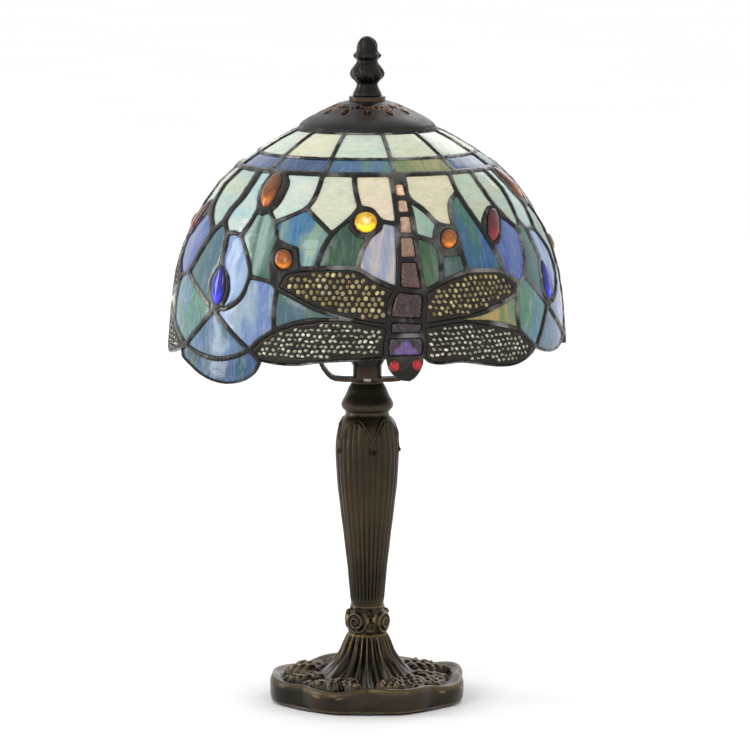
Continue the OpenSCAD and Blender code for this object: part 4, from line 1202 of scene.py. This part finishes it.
KNOT_TOP = 49.5
knot = Parts()
knot.add(*lathe(dense([(ROD_R, BASE_TOP), (ROD_R, BASE_TOP), (9.7, BASE_TOP), (9.7, BASE_TOP), (10.3, 37),
                       (9.9, 40),
                       (9.2, 44), (8.8, 47), (9, KNOT_TOP), (9, KNOT_TOP), (ROD_R, KNOT_TOP),
                       (ROD_R, KNOT_TOP),
                       (ROD_R, BASE_TOP)], 0.5), 200, knot_relief))
for az in (-34, 56, 146, 236):
    spiral_boss(knot, az, 41.5, 7.8, 6.6)
    for da, dz, size in ((45, -1.4, 3.6), (45, 4.6, 2.2)):
        spiral_boss(knot, az + da, 41.3 + dz, 7.2, size)
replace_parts(knot.make("rosette_knot", base_bronze, "root", "bronze", sharp=70), "knot_collar")

# Fluted vase: five arches of ribs, their rims ending in small curls
STEM_TOP = 151.5
STEM = [(8.6, KNOT_TOP), (8.5, 54), (9.2, 62), (10, 71), (11, 79), (12, 88), (13.1, 96), (14.1, 105),
        (15, 112),
        (15.5, 119), (15.9, 126), (16.1, 131), (15.8, 137), (15.2, 141), (14.4, 144.5), (12.8, 148),
        (11.4, 150),
        (11.2, STEM_TOP)]
ARCHES = 5
ARCH_AZ = -25
ARCH_TOP, ARCH_FOOT = 148.6, 132.5
RIBS = 30


def stem_relief(az, r, z):
    half = 180 / ARCHES
    local = (az - ARCH_AZ + half) % (2 * half) - half
    arch = ARCH_FOOT + (ARCH_TOP - ARCH_FOOT) * np.sqrt(np.clip(1 - (local / half) ** 2, 0, 1)) ** 1.15
    below = np.clip((arch - 1.2 - z) / 1.2, 0, 1)
    rib = np.abs(np.cos(np.radians(RIBS / 2 * (az - ARCH_AZ)))) ** 0.7
    side = np.abs(local) > half - 3.5
    dr = below * (0.85 * rib - 0.3) * np.where(side & (z > 60), 0.6, 1) * np.clip((z - 51) / 3, 0, 1)
    slope = np.clip(16 * np.abs(local / half) / np.sqrt(np.clip(1 - (local / half) ** 2, 0.02,
                                                                1)) / half / 0.27, 0, 7)
    near = (z - arch) / np.sqrt(1 + slope**2)
    dr = dr + (z > ARCH_FOOT - 1) * (0.75 * bell(near / 0.55) + 0.6 * bell((near + 1.7) / 0.5))
    return np.where(r > 6, dr, 0), np.zeros_like(r)


stem = Parts()
stem.add(*lathe(dense([(ROD_R, KNOT_TOP), (ROD_R, KNOT_TOP), *STEM, (11.2, STEM_TOP), (ROD_R, STEM_TOP),
                       (ROD_R, STEM_TOP), (ROD_R, KNOT_TOP)], 0.75), 480, stem_relief))
for i in range(ARCHES):
    foot = ARCH_AZ + (i + 0.5) * 360 / ARCHES
    spiral_boss(stem, foot, 131.8, 13.4, 1.9)
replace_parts(stem.make("fluted_vase", stem_bronze, "root", "bronze", sharp=75), "stem_casting")

NECK_TOP = 167.4
neck = lathe(dense([(ROD_R, STEM_TOP), (ROD_R, STEM_TOP), (11.4, STEM_TOP), (11.4, STEM_TOP), (11.9, 152.3),
                    (12.7, 153.1), (13.5, 154.6), (13.5, 155.8), (12.8, 157.6), (11.8, 159.4), (10.8, 161.5),
                    (9.9, 163.8), (8.8, 165.8), (8.3, 166.6), (8.3, NECK_TOP), (8.3, NECK_TOP),
                    (ROD_R, NECK_TOP),
                    (ROD_R, NECK_TOP), (ROD_R, STEM_TOP)], 0.4), 160)
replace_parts(piece("neck_bell_turned", *neck, bronze, "root", "bronze", sharp=50), "neck_bell")

# Cap: a pressed sheet with a ring of leaf-shaped piercings, and a rolled edge
CAP = np.array([(3.2, 313.4), (9.9, 313.4), (12.2, 312.95), (15.9, 311.5), (20.5, 309.45), (24.7, 307.4),
                (29.4, 305.2), (33, 303.0), (35, 301.0), (35.5, 299.6)], float)
cap_curve = dense(CAP, 0.6)
cap_material, tree, bsdf = new_material("cap_bronze")
where = object_coords(tree)
wear = attribute(tree, "wear").outputs["Color"]
cap_cloud = grey(tree, noise(tree, where, 30, 4, 0.5), 0, 1, 0.35, 0.7)
cap_body = mix(tree, cap_cloud, (0.012, 0.011, 0.010), (0.028, 0.025, 0.022))
cap_patch = mix(tree, 1.0, wear, grey(tree, noise(tree, where, 160, 3), 0.0, 1.0, 0.42, 0.6), "MULTIPLY")
tree.links.new(mix(tree, cap_patch, cap_body, (0.2, 0.1, 0.058)), bsdf.inputs["Base Color"])
bsdf.inputs["Metallic"].default_value = 0.7
tree.links.new(grey(tree, noise(tree, where, 130, 4), 0.3, 0.48), bsdf.inputs["Roughness"])
bump(tree, bsdf, noise(tree, where, 500, 3), 0.3, 0.12 * MM)
VENTS = 12


def leaf(cx, cy, half_l, half_w, angle, sides=18):
    phi = np.arange(sides) / sides * 2 * math.pi
    along, across = half_l * np.cos(phi), half_w * np.sign(np.sin(phi)) * np.abs(np.sin(phi)) ** 1.4
    return np.stack([cx + along * math.cos(angle) - across * math.sin(angle),
                     cy + along * math.sin(angle) + across * math.cos(angle)], 1)


holes = []
for i in range(VENTS):
    a = 2 * math.pi * i / VENTS
    b = a + math.pi / VENTS
    holes.append(leaf(22.3 * math.sin(a), -22.3 * math.cos(a), 3.1, 1.9, a - math.pi / 2))
    holes.append(leaf(17.2 * math.sin(b), -17.2 * math.cos(b), 2.1, 1.15, b - math.pi / 2))
    for side in (-1, 1):
        c = a + side * math.radians(6)
        holes.append(leaf(17.7 * math.sin(c), -17.7 * math.cos(c), 1.3, 0.6, c - math.pi / 2 + side * 0.6))
turns = np.radians(np.arange(0, 360, 1.5))
cap_rings = [np.stack([r * np.sin(turns), -r * np.cos(turns)], 1) for r in (35.5, 3.2)]
fill = []
for r in np.concatenate([np.arange(4.2, 13, 1.1), np.arange(13.2, 26, 0.8), np.arange(26.5, 33, 1.1),
                         np.arange(33, 35.4, 0.4)]):
    count = int(2 * math.pi * r / (0.9 if 13 < r < 26 else 1.3))
    a = np.arange(count) / count * 2 * math.pi + r
    fill.append(np.stack([r * np.sin(a), -r * np.cos(a)], 1))
fill = np.vstack(fill)
clear = np.ones(len(fill), bool)
for h in holes:
    near = np.hypot(*(fill - h.mean(0)).T) < 5
    gap = np.sqrt(((fill[near][:, None] - h[None]) ** 2).sum(2)).min(1)
    clear[np.where(near)[0][gap < 0.35]] = False
cap_loops = cap_rings + holes
starts = np.cumsum([0] + [len(l) for l in cap_loops])
spots, kept = triangulate(np.vstack(cap_loops + [fill[clear]]),
                          [range(starts[i], starts[i + 1]) for i in range(len(cap_loops))])
r = np.hypot(spots[:, 0], spots[:, 1])
order = np.argsort(cap_curve[:, 0])
z_top = np.interp(r, cap_curve[order, 0], cap_curve[order, 1])
hole_points = np.vstack(holes)
hole_gap = np.array([np.sqrt(((hole_points - p) ** 2).sum(1)).min() for p in spots])
lip = 0.28 * bell((hole_gap - 0.55) / 0.4) * (r > 12) * (r < 27)
outer = np.stack([spots[:, 0], spots[:, 1], z_top + lip], 1)
inner = np.stack([spots[:, 0] * 0.995, spots[:, 1] * 0.995, z_top - 1.5], 1)
verts, faces, source = closed_sheet(kept, outer, inner, np.tile([0.0, 0.0, 1.0], (len(outer), 1)))
cap = Parts()
worn = np.clip(1.3 * bell(hole_gap / 0.7) * (r > 12) * (r < 27), 0, 1)[source]
cap.add(verts, faces, wear=np.tile(worn[:, None], (1, 3)))
lip_profile = dense([(34.2, 299.6), (34.1, 298.4), (34.6, 297.6), (35.3, 297.7), (35.6, 298.6),
                     (35.55, 299.8),
                     (35.1, 300.5), (34.5, 300.3), (34.2, 299.6)], 0.3)
verts, faces = lathe(lip_profile, 240)
cap.add(verts, faces, wear=np.zeros(3))
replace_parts(cap.make("pierced_cap", cap_material, "shade", "bronze", sharp=50), "shade_cap")

# Finial: turned foot, twisted bulb, beaded collar, ribbed acorn
WASHER_TOP, FINIAL_TOP = 315.6, 346.7


def finial_relief(az, r, z):
    a = np.radians(az)
    bulb = bell((z - 327.3) / 3.4)
    beads = bell((z - 336.6) / 1.3)
    acorn = np.clip((z - 338.6) / 1.5, 0, 1) * np.clip((346.2 - z) / 2, 0, 1)
    dr = bulb * (0.95 * np.abs(np.cos(4 * a + (z - 327) * 0.28)) ** 0.8 - 0.75)
    dr = dr + beads * (0.9 * np.abs(np.cos(4 * a)) ** 1.4 - 0.5)
    dr = dr + acorn * (0.6 * np.abs(np.cos(3.5 * a + 0.25 * (z - 341))) ** 0.8 - 0.4)
    return np.where((r > 3.6) | (z > 338), dr, 0), np.zeros_like(r)


finial_profile = dense([(0, 326.6), (0, 326.6), (3.05, 326.6), (3.05, 326.6), (3.05, WASHER_TOP),
                        (3.05, WASHER_TOP),
                        (7.2, WASHER_TOP), (7.2, WASHER_TOP), (7.5, 316.3), (7.3, 317.2), (6.3, 319.3),
                        (5.5, 321.9),
                        (6.4, 323.4), (8.2, 325.4), (8.8, 327.2), (8.3, 329.2), (6.8, 331.6), (5.6, 333.2),
                        (5.5, 334.3), (6.5, 335.5), (6.9, 336.8), (6.1, 338.1), (5.4, 339.5), (5.25, 341.2),
                        (4.7, 343.4), (3.3, 345.4), (1.4, 346.5), (0, FINIAL_TOP)], 0.3)
verts, faces = lathe(finial_profile, 192, finial_relief)
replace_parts(piece("twisted_finial", verts, faces, dark_bronze, "finial", "bronze", sharp=60), "finial")

# ---------------------------------------------------------------- carried-over nodes
brass = plain_material("brass", (0.42, 0.26, 0.09), (0.66, 0.45, 0.18), 90, metallic=0.95, rough=(0.22, 0.38))
steel = plain_material("zinc_steel", (0.32, 0.32, 0.33), (0.5, 0.5, 0.51), 120, metallic=0.95,
                       rough=(0.25, 0.42))
felt = plain_material("dark_felt", (0.006, 0.011, 0.008), (0.016, 0.024, 0.018), 260, rough=(0.9, 1.0),
                      sheen=0.5,
                      bump_mm=0.25)
rubber = plain_material("black_rubber", (0.012, 0.012, 0.012), (0.03, 0.03, 0.03), 200, rough=(0.55, 0.75))
phenolic = plain_material("phenolic", (0.016, 0.011, 0.008), (0.035, 0.025, 0.02), 70, rough=(0.28, 0.4),
                          coat=0.2)
ceramic = plain_material("ceramic", (0.7, 0.67, 0.6), (0.82, 0.8, 0.75), 90, rough=(0.2, 0.35), coat=0.3)
bulb_glass = plain_material("bulb_glass", (0.72, 0.7, 0.66), (0.8, 0.79, 0.76), 60, rough=(0.25, 0.4),
                            coat=0.4)
filament = plain_material("filament", (0.2, 0.2, 0.2), (0.35, 0.34, 0.33), 400, metallic=0.8,
                          rough=(0.4, 0.5))
insulator = plain_material("insulator", (0.01, 0.01, 0.012), (0.03, 0.03, 0.035), 150, rough=(0.2, 0.35),
                           coat=0.4)
CARRIED = {
    "base_felt": felt, "cord_grommet": rubber, "rod_washer": steel, "rod_nut": brass, "threaded_rod": steel,
    "harp": dark_bronze, "harp_nut": brass, "socket_cup": dark_bronze, "holder_cap": phenolic,
           "holder_body": phenolic,
    "holder_shell": brass, "holder_contact": brass, "terminal_block": ceramic, "terminal_screws": steel,
    "harp_stud": steel, "stud_lower_nut": brass, "stud_lock_nut": brass, "shade_seat": brass,
    "bulb_glass": bulb_glass, "bulb_cap": steel, "bulb_insulator": insulator, "bulb_contact": brass,
    "bulb_mount": ceramic, "bulb_filament": filament, "finial_washer": dark_bronze}
for node, material in CARRIED.items():
    data = NODES[node].data
    if not data.materials:
        data.materials.append(material)
    for i in range(len(data.materials)):
        data.materials[i] = material

# ---------------------------------------------------------------- floor
floor_mesh = bpy.data.meshes.new("floor")
FLOOR = 14
floor_mesh.from_pydata([(-FLOOR, -FLOOR, 0), (FLOOR, -FLOOR, 0), (FLOOR, FLOOR, 0), (-FLOOR, FLOOR, 0)],
                       [], [(0, 1, 2, 3)])
floor = bpy.data.objects.new("floor", floor_mesh)
scene.collection.objects.link(floor)
floor_mesh.materials.append(plain_material("floor_paper", (0.9, 0.9, 0.9), (0.93, 0.93, 0.93), 3,
                                           rough=(0.8, 0.9)))
world = bpy.data.worlds.new("studio")
world.use_nodes = True
world.node_tree.nodes["Background"].inputs["Color"].default_value = (1, 1, 1, 1)
world.node_tree.nodes["Background"].inputs["Strength"].default_value = 1.08
scene.world = world
